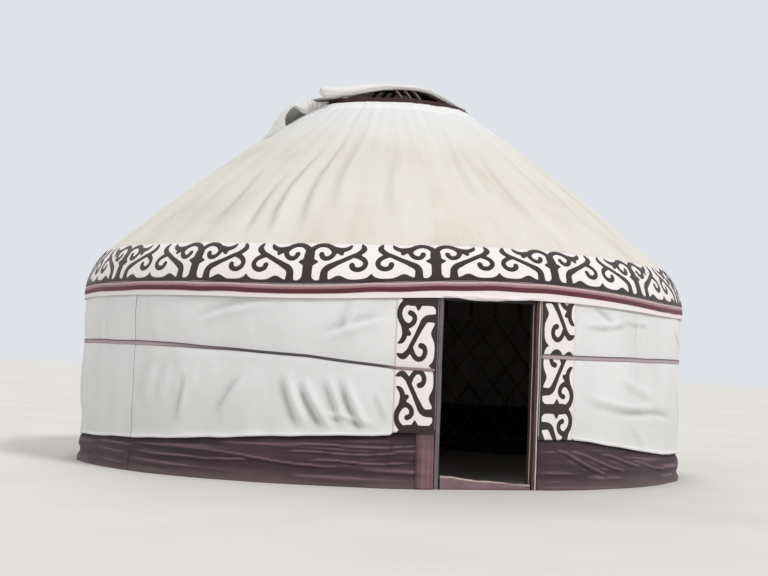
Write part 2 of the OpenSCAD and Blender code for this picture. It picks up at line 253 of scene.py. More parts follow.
# %% One recipe for cloth
def cloth_material(name, stops, thread=0.005, weave=0.0006, patch=1.1, streak=5.0, sheen=0.1,
                   dust=None, relief=0.0, level=False, zones=(), marks=(), through=0.0):
    """A woven or felted cloth. thread is the spacing in metres, weave its height, patch and
    streak the number of patches and streaks in a metre, and dust (colour, height, share)
    tints the cloth towards the ground. With level the streaks lie flat. zones tint it
    between two lengths up the cloth, as (colour, start, end, share at the start, share at
    the end). marks are (attribute, colour): the mesh stores where it takes painted shade, a
    painted highlight, or on the faded length a darker tone.
    through is the share of the light that shines through the cloth."""
    made, tree = new_material(name)
    place = node(tree, "ShaderNodeTexCoord")
    uv = place.outputs["UV"]
    patches = node(tree, "ShaderNodeTexNoise", {"Vector": uv, "Scale": patch, "Detail": 6.0,
                                                "Roughness": 0.6})
    # a streak is eleven times as long as it is wide
    long, wide = streak * 0.09, streak
    run = node(tree, "ShaderNodeMapping", {
        "Vector": uv, "Scale": (long, wide, 1.0) if level else (wide, long, 1.0)})
    streaks = node(tree, "ShaderNodeTexNoise", {"Vector": run, "Scale": 1.0, "Detail": 4.0,
                                                "Roughness": 0.55})
    both = node(tree, "ShaderNodeMath", {0: patches, 1: streaks}, operation="ADD")
    half = node(tree, "ShaderNodeMath", {0: both, 1: 0.5}, operation="MULTIPLY")
    colour = node(tree, "ShaderNodeValToRGB", {"Fac": half}, stops=stops)
    # every tint is the share of a colour that is mixed in
    tints = []
    if dust:
        code, height, most = dust
        up = node(tree, "ShaderNodeSeparateXYZ", {0: place.outputs["Object"]}).outputs["Z"]
        edge = node(tree, "ShaderNodeMath", {0: patches, 1: -height * 1.2, 2: up},
                    operation="MULTIPLY_ADD")
        tints.append((node(tree, "ShaderNodeMapRange", {
            "Value": edge, "From Min": -height * 0.6, "From Max": height * 0.6,
            "To Min": most, "To Max": 0.0}), code))
    for code, start, end, low, high in zones:
        up = node(tree, "ShaderNodeSeparateXYZ", {0: uv}).outputs["Y"]
        tints.append((node(tree, "ShaderNodeMapRange", {
            "Value": up, "From Min": start, "From Max": end, "To Min": low, "To Max": high}), code))
    for mark, code in marks:
        stored = node(tree, "ShaderNodeAttribute", attribute_name=mark)
        tints.append((stored.outputs["Fac"], code))
    for share, code in tints:
        colour = node(tree, "ShaderNodeMix", {0: share, 6: colour, 7: linear(code)},
                      data_type="RGBA").outputs[2]
    warp, weft = (node(tree, "ShaderNodeTexWave", {
        "Vector": uv, "Scale": ONE_BAND / thread, "Distortion": 1.2, "Detail": 1.0},
        bands_direction=way).outputs["Fac"] for way in "XY")
    threads = node(tree, "ShaderNodeMath", {0: warp, 1: weft}, operation="ADD")
    normal = node(tree, "ShaderNodeBump", {"Height": threads, "Distance": weave, "Strength": 0.8})
    if relief:
        lumps = node(tree, "ShaderNodeTexNoise", {"Vector": uv, "Scale": 9.0, "Detail": 4.0})
        normal = node(tree, "ShaderNodeBump", {"Height": lumps, "Distance": relief,
                                               "Strength": 0.6, "Normal": normal})
    shader = node(tree, "ShaderNodeBsdfPrincipled", {
        "Base Color": colour, "Roughness": 0.92, "Sheen Weight": sheen, "Sheen Roughness": 0.5,
        "Normal": normal, "Subsurface Weight": through, "Subsurface Scale": 0.03,
        "Subsurface Radius": (1.0, 1.0, 0.95)})
    node(tree, "ShaderNodeOutputMaterial", {"Surface": shader})
    return made


print("the weave's scale for threads 5 mm apart", round(ONE_BAND / 0.005, 1))

# %% [markdown]
# Each real cloth of the tent is a material of that recipe. Its tones are those of the clean
# cloth. The zones and the dust add what was sewn on new, and what sun, soil and smoke did.
# The marks add painted shade, painted highlights and, on the faded length, a darker tone.

# %% Cloth materials
# unbleached cotton canvas, sun bleached to cream and almost white near the crown. Its lower
# hem is new, whiter cotton, and so is its top edge, which begins this far up the cloth.
# Its mark is painted shade on the flanks of its folds.
TOP_EDGE = 2.92
roof_canvas = cloth_material(
    "cream_cotton_canvas", [(0.3, "#cdc7b8"), (0.48, "#dfdacd"), (0.7, "#e6e2d7")], relief=0.004,
    zones=[("#e7e9e9", TOP_EDGE - 0.82, TOP_EDGE - 0.07, 0.0, 0.85),
           ("#f1f0ef", TOP_EDGE, TOP_EDGE + 0.006, 0.0, 1.0),
           ("#f1e9e9", 0.052, 0.058, 1.0, 0.0)], marks=[("soil", "#adaa9c")])
# bleached cotton canvas, with splashed soil near the ground, painted shade in the creases,
# and a white hem
wall_canvas = cloth_material(
    "white_cotton_canvas", [(0.3, "#d9dad8"), (0.5, "#e8e8e8"), (0.7, "#efefee")], relief=0.004,
    streak=2.0, dust=("#c4c2b8", 0.75, 0.30), zones=[("#f4f3f2", 0.026, 0.032, 0.9, 0.0)],
    marks=[("soil", "#8f968f")])
# washed sheep felt, the ground of the ornament: matted fibres, so no gloss and a soft edge
white_felt = cloth_material("white_wool_felt", [(0.3, "#ece4e2"), (0.7, "#faf5f3")],
                            thread=0.009, weave=0.0008, sheen=0.25, streak=3.0)
# felt dyed dark brown, for the scrolls: the dye takes unevenly, so it is never quite black
dark_felt = cloth_material("dark_brown_wool_felt", [(0.3, "#2c2222"), (0.7, "#3d3030")],
                           thread=0.009, weave=0.0008, sheen=0.2, streak=3.0)
# undyed felt, greyed by smoke, the lining that shows inside: coarse and dull
lining_felt = cloth_material("smoked_wool_felt_lining", [(0.3, "#7f7a77"), (0.7, "#a29c97")],
                             thread=0.012, weave=0.001, sheen=0.15)
# plain maroon cotton, woven thin: long level streaks and dusty at the foot, with a painted
# highlight on the ridges of its folds and a painted shadow just under the covers
skirt_cotton = cloth_material(
    "maroon_cotton_cloth", [(0.3, "#2d1e27"), (0.5, "#422d37"), (0.72, "#5d434e")], streak=9.0,
    level=True, dust=("#7d6a64", 0.10, 0.40), relief=0.004,
    marks=[("faded", "#8b6b76"), ("soil", "#1c1318")])
# the same cloth where the sun has faded it
faded_cotton = cloth_material("faded_maroon_cotton", [(0.3, "#6d4f57"), (0.7, "#8b7073")],
                              streak=6.0, level=True, dust=("#8c606c", 0.22, 0.30),
                              marks=[("soil", "#4d3840")])
print("cloth materials", [m.name for m in bpy.data.materials])

# %% [markdown]
# Every piece rides on the one body, the tent, and most of them stand for plain CAD nodes
# that they hide.

# %% Helpers for pieces
def finish_piece(piece, stands_for=None):
    """Rides a finished piece on the tent. It hides the CAD node of the name stands_for, or all
    whose names start with it."""
    if stands_for:
        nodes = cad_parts
        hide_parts(*([stands_for] if stands_for in nodes else
                             [n for n in nodes if n.startswith(stands_for)]))
    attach(piece, "root")


def cloth_lengths(grid, axis):
    """How far each place of a grid lies along the cloth from its first row or column."""
    steps = np.linalg.norm(np.diff(grid, axis=axis), axis=-1).mean(axis=1 - axis)
    return np.concatenate([[0], np.cumsum(steps)])


metre = np.zeros((2, 3, 3)) + [[[0, 0, 0], [0.5, 0, 0], [1, 0, 0]]]
print("a straight metre of cloth", cloth_lengths(metre, 1), "CAD nodes", len(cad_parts))

# %% [markdown]
# Nearly every cover is a thin sheet with two faces and a cut edge. One function turns a
# grid of places on the outside and the matching grid on the inside into a closed mesh,
# with a UV map in metres along the cloth.

# %% Closed sheets from grids
def build_sheet(name, outer, inner, materials, slot, held, rests_on, stands_for=None,
                closed=False, **marks):
    """A closed mesh from two grids of places [row up, column to the right, xyz]. The
    outside takes the first material, the inside and the cut edges the last. Each of marks
    is a grid of numbers from 0 to 1 that the mesh keeps for its material. held and
    rests_on are not used."""
    if closed:
        outer, inner = (np.concatenate([grid, grid[:, :1]], axis=1) for grid in (outer, inner))
    rows, cols = outer.shape[:2]
    u, v = cloth_lengths(outer, 1), cloth_lengths(outer, 0)
    wrap = cols - 1 if closed else cols
    index = np.arange(rows)[:, None] * wrap + np.arange(cols)[None, :] % wrap
    back = index + rows * wrap
    faces, where, kinds = [], [], []

    def add(grids, at_rows, at_cols, kind):
        """Faces between four corners on the grids. Kind 0 is outside, 1 inside, 2 an edge."""
        corners = list(zip(grids, at_rows, at_cols))
        faces.append(np.stack([g[i, j].ravel() for g, i, j in corners], axis=1))
        where.append(np.stack([np.stack([u[j].ravel(), v[i].ravel()], axis=1)
                               for g, i, j in corners], axis=1))
        kinds.append(np.full(len(faces[-1]), kind))

    i, j = np.meshgrid(np.arange(rows - 1), np.arange(cols - 1), indexing="ij")
    at_rows, at_cols = [i, i, i + 1, i + 1], [j, j + 1, j + 1, j]
    add([index] * 4, at_rows, at_cols, 0)
    add([back] * 4, at_rows[::-1], at_cols[::-1], 1)
    across = [index, index, back, back]
    j = np.arange(cols - 1)
    for i, turn in ((0 * j, 1), (0 * j + rows - 1, -1)):
        add(across[::turn], [i] * 4, [j + 1, j, j, j + 1][::turn], 2)
    i = np.arange(rows - 1)
    for j, turn in () if closed else ((0 * i, 1), (0 * i + cols - 1, -1)):
        add(across[::turn], [i, i + 1, i + 1, i][::turn], [j] * 4, 2)
    faces, where, kinds = (np.concatenate(part) for part in (faces, where, kinds))
    places = np.concatenate([grid[:, :wrap].reshape(-1, 3) for grid in (outer, inner)])
    mesh = bpy.data.meshes.new(name)
    mesh.from_pydata(places.tolist(), [], faces.tolist())
    mesh.uv_layers.new(name="cloth_metres").data.foreach_set("uv", where.ravel())
    mesh.polygons.foreach_set("use_smooth", kinds < 2)
    mesh.polygons.foreach_set("material_index", np.where(kinds == 0, 0, len(materials) - 1))
    for mark, grid in marks.items():
        kept = mesh.attributes.new(mark, "FLOAT", "POINT")
        kept.data.foreach_set("value", np.tile(grid[:, :wrap].ravel(), 2))
    mesh.update()
    made = add_object(name, mesh, *materials)
    finish_piece(made, stands_for)


def grid_of(rows, cols):
    """The row value and the column value of every place of a grid."""
    return np.meshgrid(rows, cols, indexing="ij")


print("a grid of", grid_of(range(3), range(4))[0].shape, "places")

# %% [markdown]
# The roof turns from the wall into the slope over a bend of the poles, then runs straight
# to the crown. Everything that lies on it, such as the ornament band and the eave tape,
# uses the same surface with a small lift, so nothing pokes through. Over the doorway the
# eave is pulled up a little, and at the sides it hangs lower.

# %% The roof's surface
SLOPE_LENGTH = (BEND_C + BEND_R * cos(BEND_END) - CROWN_R) / cos(ROOF_SLOPE)
ROOF_LENGTH = BEND_R * BEND_END + SLOPE_LENGTH
POLE_PITCH = (360 - 2 * DOOR_A) / 57


def eave_lift(a):
    """How much higher or lower than even the eave hangs at angle a."""
    t = smooth(from_door(a - 5) / 42)
    return 0.032 - 0.080 * t + 0.008 * t * np.sin(np.radians(5 * a + 40))


# folds of the roof canvas: angle, start and end along the roof, height and half width
ROOF_FOLDS = [
    (-40, 0.55, 2.2, 0.022, 0.9), (-46, 0.50, 1.8, -0.018, 1.1), (-34, 0.60, 2.5, 0.014, 1.0),
    (-28, 0.9, 2.7, 0.010, 1.4), (-15, 0.8, 2.4, 0.007, 1.8), (3, 1.0, 2.9, -0.006, 2.0),
    (16, 0.7, 2.3, 0.007, 1.7), (27, 0.9, 2.6, -0.006, 2.0), (44, 0.6, 2.2, 0.008, 1.6),
    (66, 0.6, 2.6, -0.009, 1.4), (88, 0.7, 2.0, 0.011, 1.4), (113, 0.5, 2.5, -0.010, 1.6),
    (141, 0.6, 2.3, 0.012, 1.3), (168, 0.8, 2.7, -0.009, 1.5), (196, 0.6, 2.2, 0.012, 1.2),
    (221, 0.7, 2.6, -0.012, 1.4), (247, 0.6, 2.4, 0.014, 1.3), (268, 0.5, 2.3, -0.012, 1.3),
    (289, 0.6, 2.5, 0.015, 1.2), (303, 0.6, 2.0, -0.013, 1.1)]


def roof_folds(s, a):
    """The long folds alone."""
    folds = 0
    for middle, start, end, height, half in ROOF_FOLDS:
        off = signed(a - middle) + 1.2 * np.sin(3 * s + middle)
        folds = folds + (height * ridge(off, half) * smooth((s - start) / 0.5)
                         * smooth((end - s) / 0.9))
    return folds


def roof_relief(s, a):
    """How far the canvas stands off the even roof: slack between poles, waves and folds."""
    slope = smooth((s - 0.35) / 0.5) * smooth((ROOF_LENGTH - s) / 0.25)
    poles = 0.0030 * np.cos(np.radians(360 / POLE_PITCH * (a - DOOR_A))) * slope
    wide = 0.012 * round_noise(a, 15, s / 1.5, 11) * slope
    fine = 0.004 * round_noise(a, 3, s / 0.7, 12) * (0.35 + 0.65 * slope)
    low = 0.004 * round_noise(a, 7.5, s / 0.4, 13)
    bulge = 0.028 * np.sin(pi * np.clip((s - BEND_R * BEND_END) / SLOPE_LENGTH, 0, 1))
    return poles + wide + fine + low + roof_folds(s, a) + bulge


def on_roof(s, a, lift=0.0):
    """Places at distance s up the roof from the top of the wall."""
    s, a, lift = np.broadcast_arrays(s, a, lift)
    turn = np.clip(s / BEND_R, 0, BEND_END)
    over = np.maximum(s - BEND_R * BEND_END, 0)
    out = BEND_R + lift + roof_relief(s, a)
    r = BEND_C + out * np.cos(turn) - over * cos(ROOF_SLOPE)
    z = EAVE_Z + out * np.sin(turn) + over * sin(ROOF_SLOPE) + np.minimum(s, 0)
    # the hem follows the lift of the eave less than the roof above it, and the slope not at all
    share = ((0.72 + 0.28 * smooth((s + 0.02) / 0.04)) * (1 - 0.75 * smooth((s - 0.1) / 0.5))
             * (1 - smooth((s - 0.5) / 0.8)))
    return at(r, a, z + eave_lift(a) * share)


print(f"the roof is {ROOF_LENGTH:.3f} m long, with a pole every {POLE_PITCH:.2f} degrees")

# %% [markdown]
# The roof cover is one round sheet of canvas over felt, sewn from strips and tied down over
# the poles. It could be draped by simulation, but poles hold it stretched everywhere, so
# the surface above gives its shape more truly: a grid is laid on it outside, a second one
# 14 mm inside, and the sheet closes between them. It ends a little below the ring's top.

# %% Roof cover
HEM = 0.035
ROOF_COVER_T = 0.014
COVER_TOP = ROOF_LENGTH - 0.070
SEAMS = (38, 110, 182, 254, 326)
AROUND = np.arange(0, 360, 0.75)


def narrowing(s):
    """How wide the roof still is at distance s, as a share of its width at the eave."""
    return 0.35 + 0.65 * (1 - s / ROOF_LENGTH)


S, A = grid_of(np.concatenate([[-HEM, -HEM + 0.008, -0.012], np.linspace(0, 0.6, 20),
                               np.linspace(0.64, COVER_TOP - 0.06, 50),
                               np.linspace(COVER_TOP - 0.033, COVER_TOP, 7)]), AROUND)
# the top edge is turned over a rope, and sewn seams join the strips of canvas
hems = 0.004 * ridge(S + HEM, 0.012) + 0.005 * smooth((S - COVER_TOP + 0.030) / 0.008)
seams = sum(0.004 * ridge(signed(A - m) * narrowing(S), 0.35, 6) for m in SEAMS)
outside = on_roof(S, A, hems + seams * smooth((S - 0.5) / 0.05))
# painted shade on the flanks of the folds that face left
painted_flank_shade = 0.55 * np.clip((roof_folds(S, A + 0.5) - roof_folds(S, A - 0.5)) / 0.009, 0, 1)
build_sheet("roof_cover_canvas", outside, on_roof(S, A, -ROOF_COVER_T),
            [roof_canvas, lining_felt], "roof_canvas", "stretched", ["roof_poles_painted"],
            "roof_cover", closed=True, soil=painted_flank_shade)

# %% [markdown]
# A band of white felt with dark scrolls runs round the eave, and the same band hangs
# upright on both sides of the door. On the real tent the scrolls are cut from dark felt
# and sewn on. The band's white ground is a sheet that follows the roof.

# %% Ornament band, the white ground
BAND_LOW, BAND_HIGH, BAND_T = 0.108, 0.484, 0.004
# this parts two faces that would otherwise lie in one place, so that they never fight
CLEAR = 0.0005
S, A = grid_of(np.linspace(BAND_LOW, BAND_HIGH, 15), AROUND)
build_sheet("ornament_band_ground", on_roof(S, A, BAND_T), on_roof(S, A, CLEAR), [white_felt],
            "ornament_felt", "stretched", ["roof_cover_canvas"], "ornament_band", closed=True)

# %% [markdown]
# The scroll is a ram's horn pattern that repeats 17 times, and each repeat is one half and
# its mirror image. The half is drawn once, as curved strokes with a width that swells and
# tapers. The distance to the nearest stroke tells what lies inside the cut felt.

# %% The ram's horn scroll, half a repeat
REPEATS = 17
HALF_REPEAT = 0.537
SCROLL_H = 0.376
# strokes through (share of the half repeat, share of the height, half width in metres): the
# trunk, its barb, the arch with its tail, the leaf under it, the small curl, the long stem
# that ends in a leaf, the large curl, and the flare at the trunk's foot
STROKES = [
    [(0.0, 0.0, .048), (0.0, .22, .041), (0.0, .45, .043), (0.0, .66, .045), (0.0, .755, .030)],
    [(0.0, .48, .044), (.075, .48, .027), (.155, .485, .004)],
    [(.01, .73, .030), (.05, .825, .026), (.12, .90, .023), (.21, .925, .023), (.30, .89, .024),
     (.37, .825, .026), (.44, .795, .027), (.515, .79, .024), (.585, .815, .022),
     (.635, .865, .019), (.665, .935, .007)],
    [(.44, .785, .025), (.485, .735, .022), (.515, .69, .019)],
    [(.375, .80, .025), (.395, .73, .023), (.375, .645, .021), (.325, .58, .021),
     (.26, .565, .021), (.215, .605, .021), (.195, .67, .023)],
    [(.27, .02, .038), (.27, .15, .033), (.275, .26, .030), (.32, .345, .028), (.39, .40, .025),
     (.46, .455, .022), (.54, .51, .020), (.62, .57, .020), (.70, .63, .020), (.765, .67, .022),
     (.825, .735, .025), (.865, .81, .026), (.855, .89, .019), (.83, .955, .007)],
    [(.74, .635, .021), (.815, .59, .021), (.875, .53, .021), (.905, .45, .021),
     (.89, .365, .021), (.835, .305, .021), (.77, .295, .021), (.71, .335, .022),
     (.695, .40, .024)],
    [(.09, .0, .032), (.05, .12, .014)],
]


def curve_through(points, steps=7):
    """Places along a smooth curve through the points, ends included."""
    points = np.array(points, float)
    ends = np.concatenate([[2 * points[0] - points[1]], points, [2 * points[-1] - points[-2]]])
    t = np.linspace(0, 1, steps, endpoint=False)[:, None]
    parts = [0.5 * (2 * b + (c - a) * t + (2 * a - 5 * b + 4 * c - d) * t ** 2
                    + (3 * b - a - 3 * c + d) * t ** 3)
             for a, b, c, d in zip(ends, ends[1:], ends[2:], ends[3:])]
    return np.concatenate(parts + [points[-1:]])


def scroll_distance(u, v):
    """Metres from the edge of the dark felt at u along the band and v up it, negative
    inside. u is 0 at a trunk."""
    u = np.abs((u + HALF_REPEAT) % (2 * HALF_REPEAT) - HALF_REPEAT)
    nearest = np.full(u.shape, 1.0)
    for stroke in STROKES:
        line = curve_through(stroke) * [HALF_REPEAT, SCROLL_H, 1]
        for (x0, y0, w0), (x1, y1, w1) in zip(line, line[1:]):
            dx, dy = x1 - x0, y1 - y0
            t = np.clip(((u - x0) * dx + (v - y0) * dy) / (dx * dx + dy * dy + 1e-12), 0, 1)
            off = np.hypot(u - x0 - t * dx, v - y0 - t * dy)
            nearest = np.minimum(nearest, off - (w0 + (w1 - w0) * t))
    p, q = u / HALF_REPEAT, v / SCROLL_H
    # the dark foot of the band, with one round and one pointed scallop
    foot = 0.065 + 0.10 * ridge(p - 0.50, 0.11) + 0.14 * np.exp(-np.abs(p - 1.0) / 0.055)
    return np.minimum(nearest, (q - foot) * SCROLL_H * 0.8)


print("repeats of the scroll", REPEATS, "each", 2 * HALF_REPEAT, "m long")

# %% [markdown]
# To cut the shape from felt, a fine grid is laid over it and each cell keeps what lies
# inside the edge. The kept pieces share their corners, so the top, the underside and the
# cut edge close to one mesh, and the grid lets it bend with the roof.

# %% Cut a raised shape out of felt
FELT_T = 0.0035
# how far in from its cut edge the felt has risen by two thirds
EDGE_SOFT = 0.007


def cut_felt(name, distance, width, height, step, place, flip=False):
    """A closed shape of dark felt where distance(u, v) is negative, cut from one length.
    place(u, v, lift) gives the places on the object."""
    us = np.linspace(0, width, round(width / step) + 1)
    vs = np.linspace(0, height, round(height / step) + 1)
    field = distance(*grid_of(us, vs))
    field = np.where(np.abs(field) < 2e-4, -2e-4, field)
    corners, spots, polygons = {}, [], []

    def corner(*key):
        """The number of a grid corner, or of the place where the edge cuts between two."""
        if key not in corners:
            corners[key] = len(spots)
            (i, j), (k, m) = key[0], key[-1]
            t = field[i, j] / (field[i, j] - field[k, m]) if len(key) > 1 else 0
            depth = 0.0 if len(key) > 1 else -field[i, j]
            spots.append((us[i] + (us[k] - us[i]) * t, vs[j] + (vs[m] - vs[j]) * t, depth))
        return corners[key]

    for i, j in np.ndindex(len(us) - 1, len(vs) - 1):
        ring = [(i, j), (i + 1, j), (i + 1, j + 1), (i, j + 1)]
        signs = [field[c] < 0 for c in ring]
        if not any(signs):
            continue
        face = []
        for n, c in enumerate(ring):
            if signs[n]:
                face.append(corner(c))
            if signs[n] != signs[(n + 1) % 4]:
                face.append(corner(*sorted((c, ring[(n + 1) % 4]))))
        polygons.append(face)
    spots = np.array(spots)
    # the edge is pressed down by its stitches and the middle stands up
    rise = FELT_T * (0.45 + 0.55 * (1 - np.exp(-spots[:, 2] / EDGE_SOFT)))
    top, under = (place(spots[:, 0], spots[:, 1], lift) for lift in (rise, 0 * rise - CLEAR))
    n = len(spots)
    open_edges = {}
    for face in polygons:
        for a, b in zip(face, face[1:] + face[:1]):
            if (b, a) in open_edges:
                del open_edges[(b, a)]
            else:
                open_edges[(a, b)] = True
    faces = polygons + [[c + n for c in face[::-1]] for face in polygons]
    faces += [[b, a, a + n, b + n] for a, b in open_edges]
    if flip:
        faces = [face[::-1] for face in faces]
    mesh = bpy.data.meshes.new(name)
    mesh.from_pydata(np.concatenate([top, under]).tolist(), [], faces)
    loops = np.empty(len(mesh.loops), int)
    mesh.loops.foreach_get("vertex_index", loops)
    layer = mesh.uv_layers.new(name="cloth_metres")
    layer.data.foreach_set("uv", spots[loops % n, :2].ravel())
    mesh.polygons.foreach_set("use_smooth", np.arange(len(faces)) < len(polygons))
    mesh.update()
    made = add_object(name, mesh, dark_felt)
    print(f"{name}: {len(faces)} faces")
    finish_piece(made)


print("felt cutter ready for", len(STROKES), "strokes")

# %% [markdown]
# The scrolls of the eave band are cut in two long lengths, one for the front and one for the
# back, as felt comes from the roll. An image of the pattern would be quicker, but only a
# raised shape catches light along its cut edge and casts the thin shadow that felt has.

# %% Scrolls on the eave band
FIRST_TRUNK = -9.6
UNIT_TURN, UNIT_L = 360 / REPEATS, 2 * HALF_REPEAT
for part, start, units in (("front", -5, 9), ("back", 4, 8)):
    first = FIRST_TRUNK + start * UNIT_TURN

    def on_band(u, v, lift):
        """A place at u along this length of scrolls and v up the band."""
        return on_roof(BAND_LOW + v, first + u / UNIT_L * UNIT_TURN, BAND_T + lift)

    cut_felt(f"ornament_scrolls_{part}", scroll_distance, units * UNIT_L, SCROLL_H, 0.0107,
             on_band)

# %% [markdown]
# Under the ornament a woven tape holds the roof covers down. It has a dark wine red stripe
# below, a dull pink one above it and a pale edge, so its colour is chosen by the place
# across the tape, which its UV map gives in metres.

# %% Striped tape and belt materials
def striped_material(name, width, stripes, thread, ends=()):
    """A woven strap with stripes along it. stripes are (share of the width, colour), and
    each of ends (colour, start, end) tints it from a length along the strap on."""
    made, tree = new_material(name)
    uv = node(tree, "ShaderNodeTexCoord").outputs["UV"]
    axes = node(tree, "ShaderNodeSeparateXYZ", {0: uv}).outputs
    share = node(tree, "ShaderNodeMath", {0: axes["Y"], 1: width}, operation="DIVIDE")
    colour = node(tree, "ShaderNodeValToRGB", {"Fac": share}, stops=stripes)
    for code, start, end in ends:
        late = node(tree, "ShaderNodeMapRange", {"Value": axes["X"], "From Min": start,
                                                 "From Max": end})
        colour = node(tree, "ShaderNodeMix", {0: late, 6: colour, 7: linear(code)},
                      data_type="RGBA").outputs[2]
    slubs = node(tree, "ShaderNodeTexNoise", {"Vector": uv, "Scale": 60.0, "Detail": 3.0})
    dull = node(tree, "ShaderNodeMix", {0: slubs, 6: colour, 7: linear("#b9a9a6")},
                data_type="RGBA", blend_type="MULTIPLY").outputs[2]
    ribs = node(tree, "ShaderNodeTexWave", {"Vector": uv, "Scale": ONE_BAND / thread,
                                            "Distortion": 0.6}, bands_direction="X")
    bump = node(tree, "ShaderNodeBump", {"Height": ribs.outputs["Fac"], "Distance": 0.0012,
                                         "Strength": 0.9})
    shader = node(tree, "ShaderNodeBsdfPrincipled", {
        "Base Color": dull, "Roughness": 0.9, "Sheen Weight": 0.15, "Normal": bump})
    node(tree, "ShaderNodeOutputMaterial", {"Surface": shader})
    return made


TAPE_LOW, TAPE_HIGH, TAPE_T = 0.022, 0.106, 0.005
# woven wool tape, dyed with madder, its threads 8 mm apart so that the ribs show
tape_wool = striped_material("woven_madder_wool_tape", TAPE_HIGH - TAPE_LOW, [
    (0.0, "#a56a73"), (0.07, "#7c3645"), (0.14, "#682a38"), (0.46, "#712f3d"), (0.50, "#b88b93"),
    (0.56, "#b5858e"), (0.70, "#c59fa5"), (0.75, "#e0c8c8"), (0.92, "#e2d0cd"),
    (0.95, "#5a3a40"), (1.0, "#4d3036")], 0.008)
print("tape", round(TAPE_HIGH - TAPE_LOW, 3), "m wide")

# %% [markdown]
# The tape itself is a narrow sheet on the roof's surface. It is thicker in the middle than
# at its selvedges, and it wanders a few millimetres up and down, as a strap that is pulled
# tight by hand does.

# %% Eave tape
def strap_round(share):
    """0 at both selvedges of a strap and 1 in its middle."""
    return np.sqrt(np.clip(4 * share * (1 - share), 0, 1))


S, A = grid_of(np.linspace(TAPE_LOW, TAPE_HIGH, 7), AROUND)
thick = TAPE_T * (0.55 + 0.45 * strap_round((S - TAPE_LOW) / (TAPE_HIGH - TAPE_LOW)))
S = S + 0.004 * round_noise(A, 5, 0, 21)
build_sheet("eave_tape_woven", on_roof(S, A, thick), on_roof(S, A, 0.0004), [tape_wool],
            "woven_tape", "stretched", ["roof_cover_canvas"], "eave_tape", closed=True)

# %% [markdown]
# The wall covers are sheets of canvas over felt, pulled round the lattice and held by a
# belt. The belt presses a groove into them, and where the cloth is pulled unevenly it
# creases. A crease is a line with a soft ridge on one side and a hollow on the other. The
# ones beside the door follow the photograph, and the rest are drawn with a fixed seed.

# %% The belt's line, the covers' feet and the creases
BELT_LEVEL = 1.146
BELT_A = [-180, -60, -45, -30.2, -22.6, -15.3, -9.2]
BELT_Z = [BELT_LEVEL, BELT_LEVEL, 1.12, 1.082, 1.044, 1.006, 0.996]
FOOT_A = [-180, -95, -60, -30, -19, -16.1, -15.5, -9, 9, 15.7, 16.3, 24, 36, 48, 79, 180]
FOOT_Z = [.25, .25, .31, .412, .430, .446, .495, .495, .46, .46, .434, .385, .308, .268, .246, .25]


def belt_height(a):
    """Height of the middle of the belt at angle a. It drops towards the left door post."""
    a = signed(a)
    return np.where(a < 0, np.interp(a, BELT_A, BELT_Z), BELT_LEVEL)


def cover_foot(a):
    """Bottom edge of the wall covers at angle a."""
    return np.interp(signed(a), FOOT_A, FOOT_Z)


# creases: start angle and height, end angle and height, bow, ridge height and half width
CREASES = [
    (-30.9, 0.93, -25.4, 0.45, 0.02, 0.034, 0.036), (-24.0, 0.94, -19.4, 0.44, 0.02, 0.033, 0.032),
    (-27.0, 0.95, -23.4, 0.47, -0.01, 0.023, 0.030), (-33.6, 0.97, -29.6, 0.44, 0.02, 0.027, 0.038),
    (-18.6, 0.84, -16.3, 0.52, 0.01, 0.012, 0.020), (-28, 0.60, -18, 0.50, -0.03, 0.012, 0.022),
    (-16.4, 1.41, -29, 1.19, 0.02, 0.013, 0.035), (-22, 1.60, -24, 1.20, 0.02, 0.009, 0.030),
    (-35, 1.50, -52, 1.30, 0.04, 0.012, 0.035), (-40, 0.90, -46, 0.46, 0.02, 0.018, 0.030),
    (-52, 0.95, -54, 0.42, -0.02, 0.015, 0.028), (16.5, 1.46, 31, 1.53, 0.05, 0.016, 0.022),
    (28.5, 1.495, 36.5, 1.49, 0.02, 0.016, 0.014), (19, 1.60, 26, 1.42, -0.02, -0.011, 0.030),
    (33, 1.58, 32.4, 1.18, 0.01, 0.010, 0.022), (16.8, 0.84, 41, 0.71, 0.05, 0.015, 0.028),
    (24, 0.66, 52, 0.60, -0.04, -0.012, 0.035), (27, 1.02, 40, 0.83, 0.04, 0.010, 0.030),
    (31, 0.62, 38, 0.36, 0.03, 0.007, 0.030), (48, 1.50, 60, 1.22, 0.03, -0.010, 0.030),
    (55, 1.05, 60, 0.45, 0.03, 0.013, 0.030)]
DRAWN = len(CREASES)
# the others hang from the eave or from the belt, in loose groups that lean the same way
chance = np.random.default_rng(31)
for middle in np.arange(70, 322, 21):
    lean, z0 = chance.uniform(-7, 7), chance.choice([1.57, 1.02])
    for k in range(chance.integers(2, 5)):
        a0 = middle + 3.4 * k + chance.uniform(-1, 1)
        CREASES.append((a0, z0 - chance.uniform(0, 0.06), a0 + lean,
                        z0 - chance.uniform(0.34, 0.64), chance.uniform(-0.02, 0.04),
                        chance.uniform(0.009, 0.015), chance.uniform(0.036, 0.062)))
CREASES = np.array(CREASES)
print("creases", DRAWN, "drawn and", len(CREASES) - DRAWN, "by chance")

# %% [markdown]
# A place on the wall is measured against each crease's line: how far along it and how far
# beside it. The ridges and hollows add up with slow waves to the wall's whole relief, which
# the belt flattens where it presses.

# %% The wall's surface
def beside(turn, rise, a0, z0, a1, z1):
    """The share of the way along a line on the wall, and the metres beside it, of places
    given by their angle and height from the line's start."""
    x, dx, dz = turn * radians(1) * WALL_R, (a1 - a0) * radians(1) * WALL_R, z1 - z0
    long = sqrt(dx * dx + dz * dz)
    return (x * dx + rise * dz) / long ** 2, (x * dz - rise * dx) / long


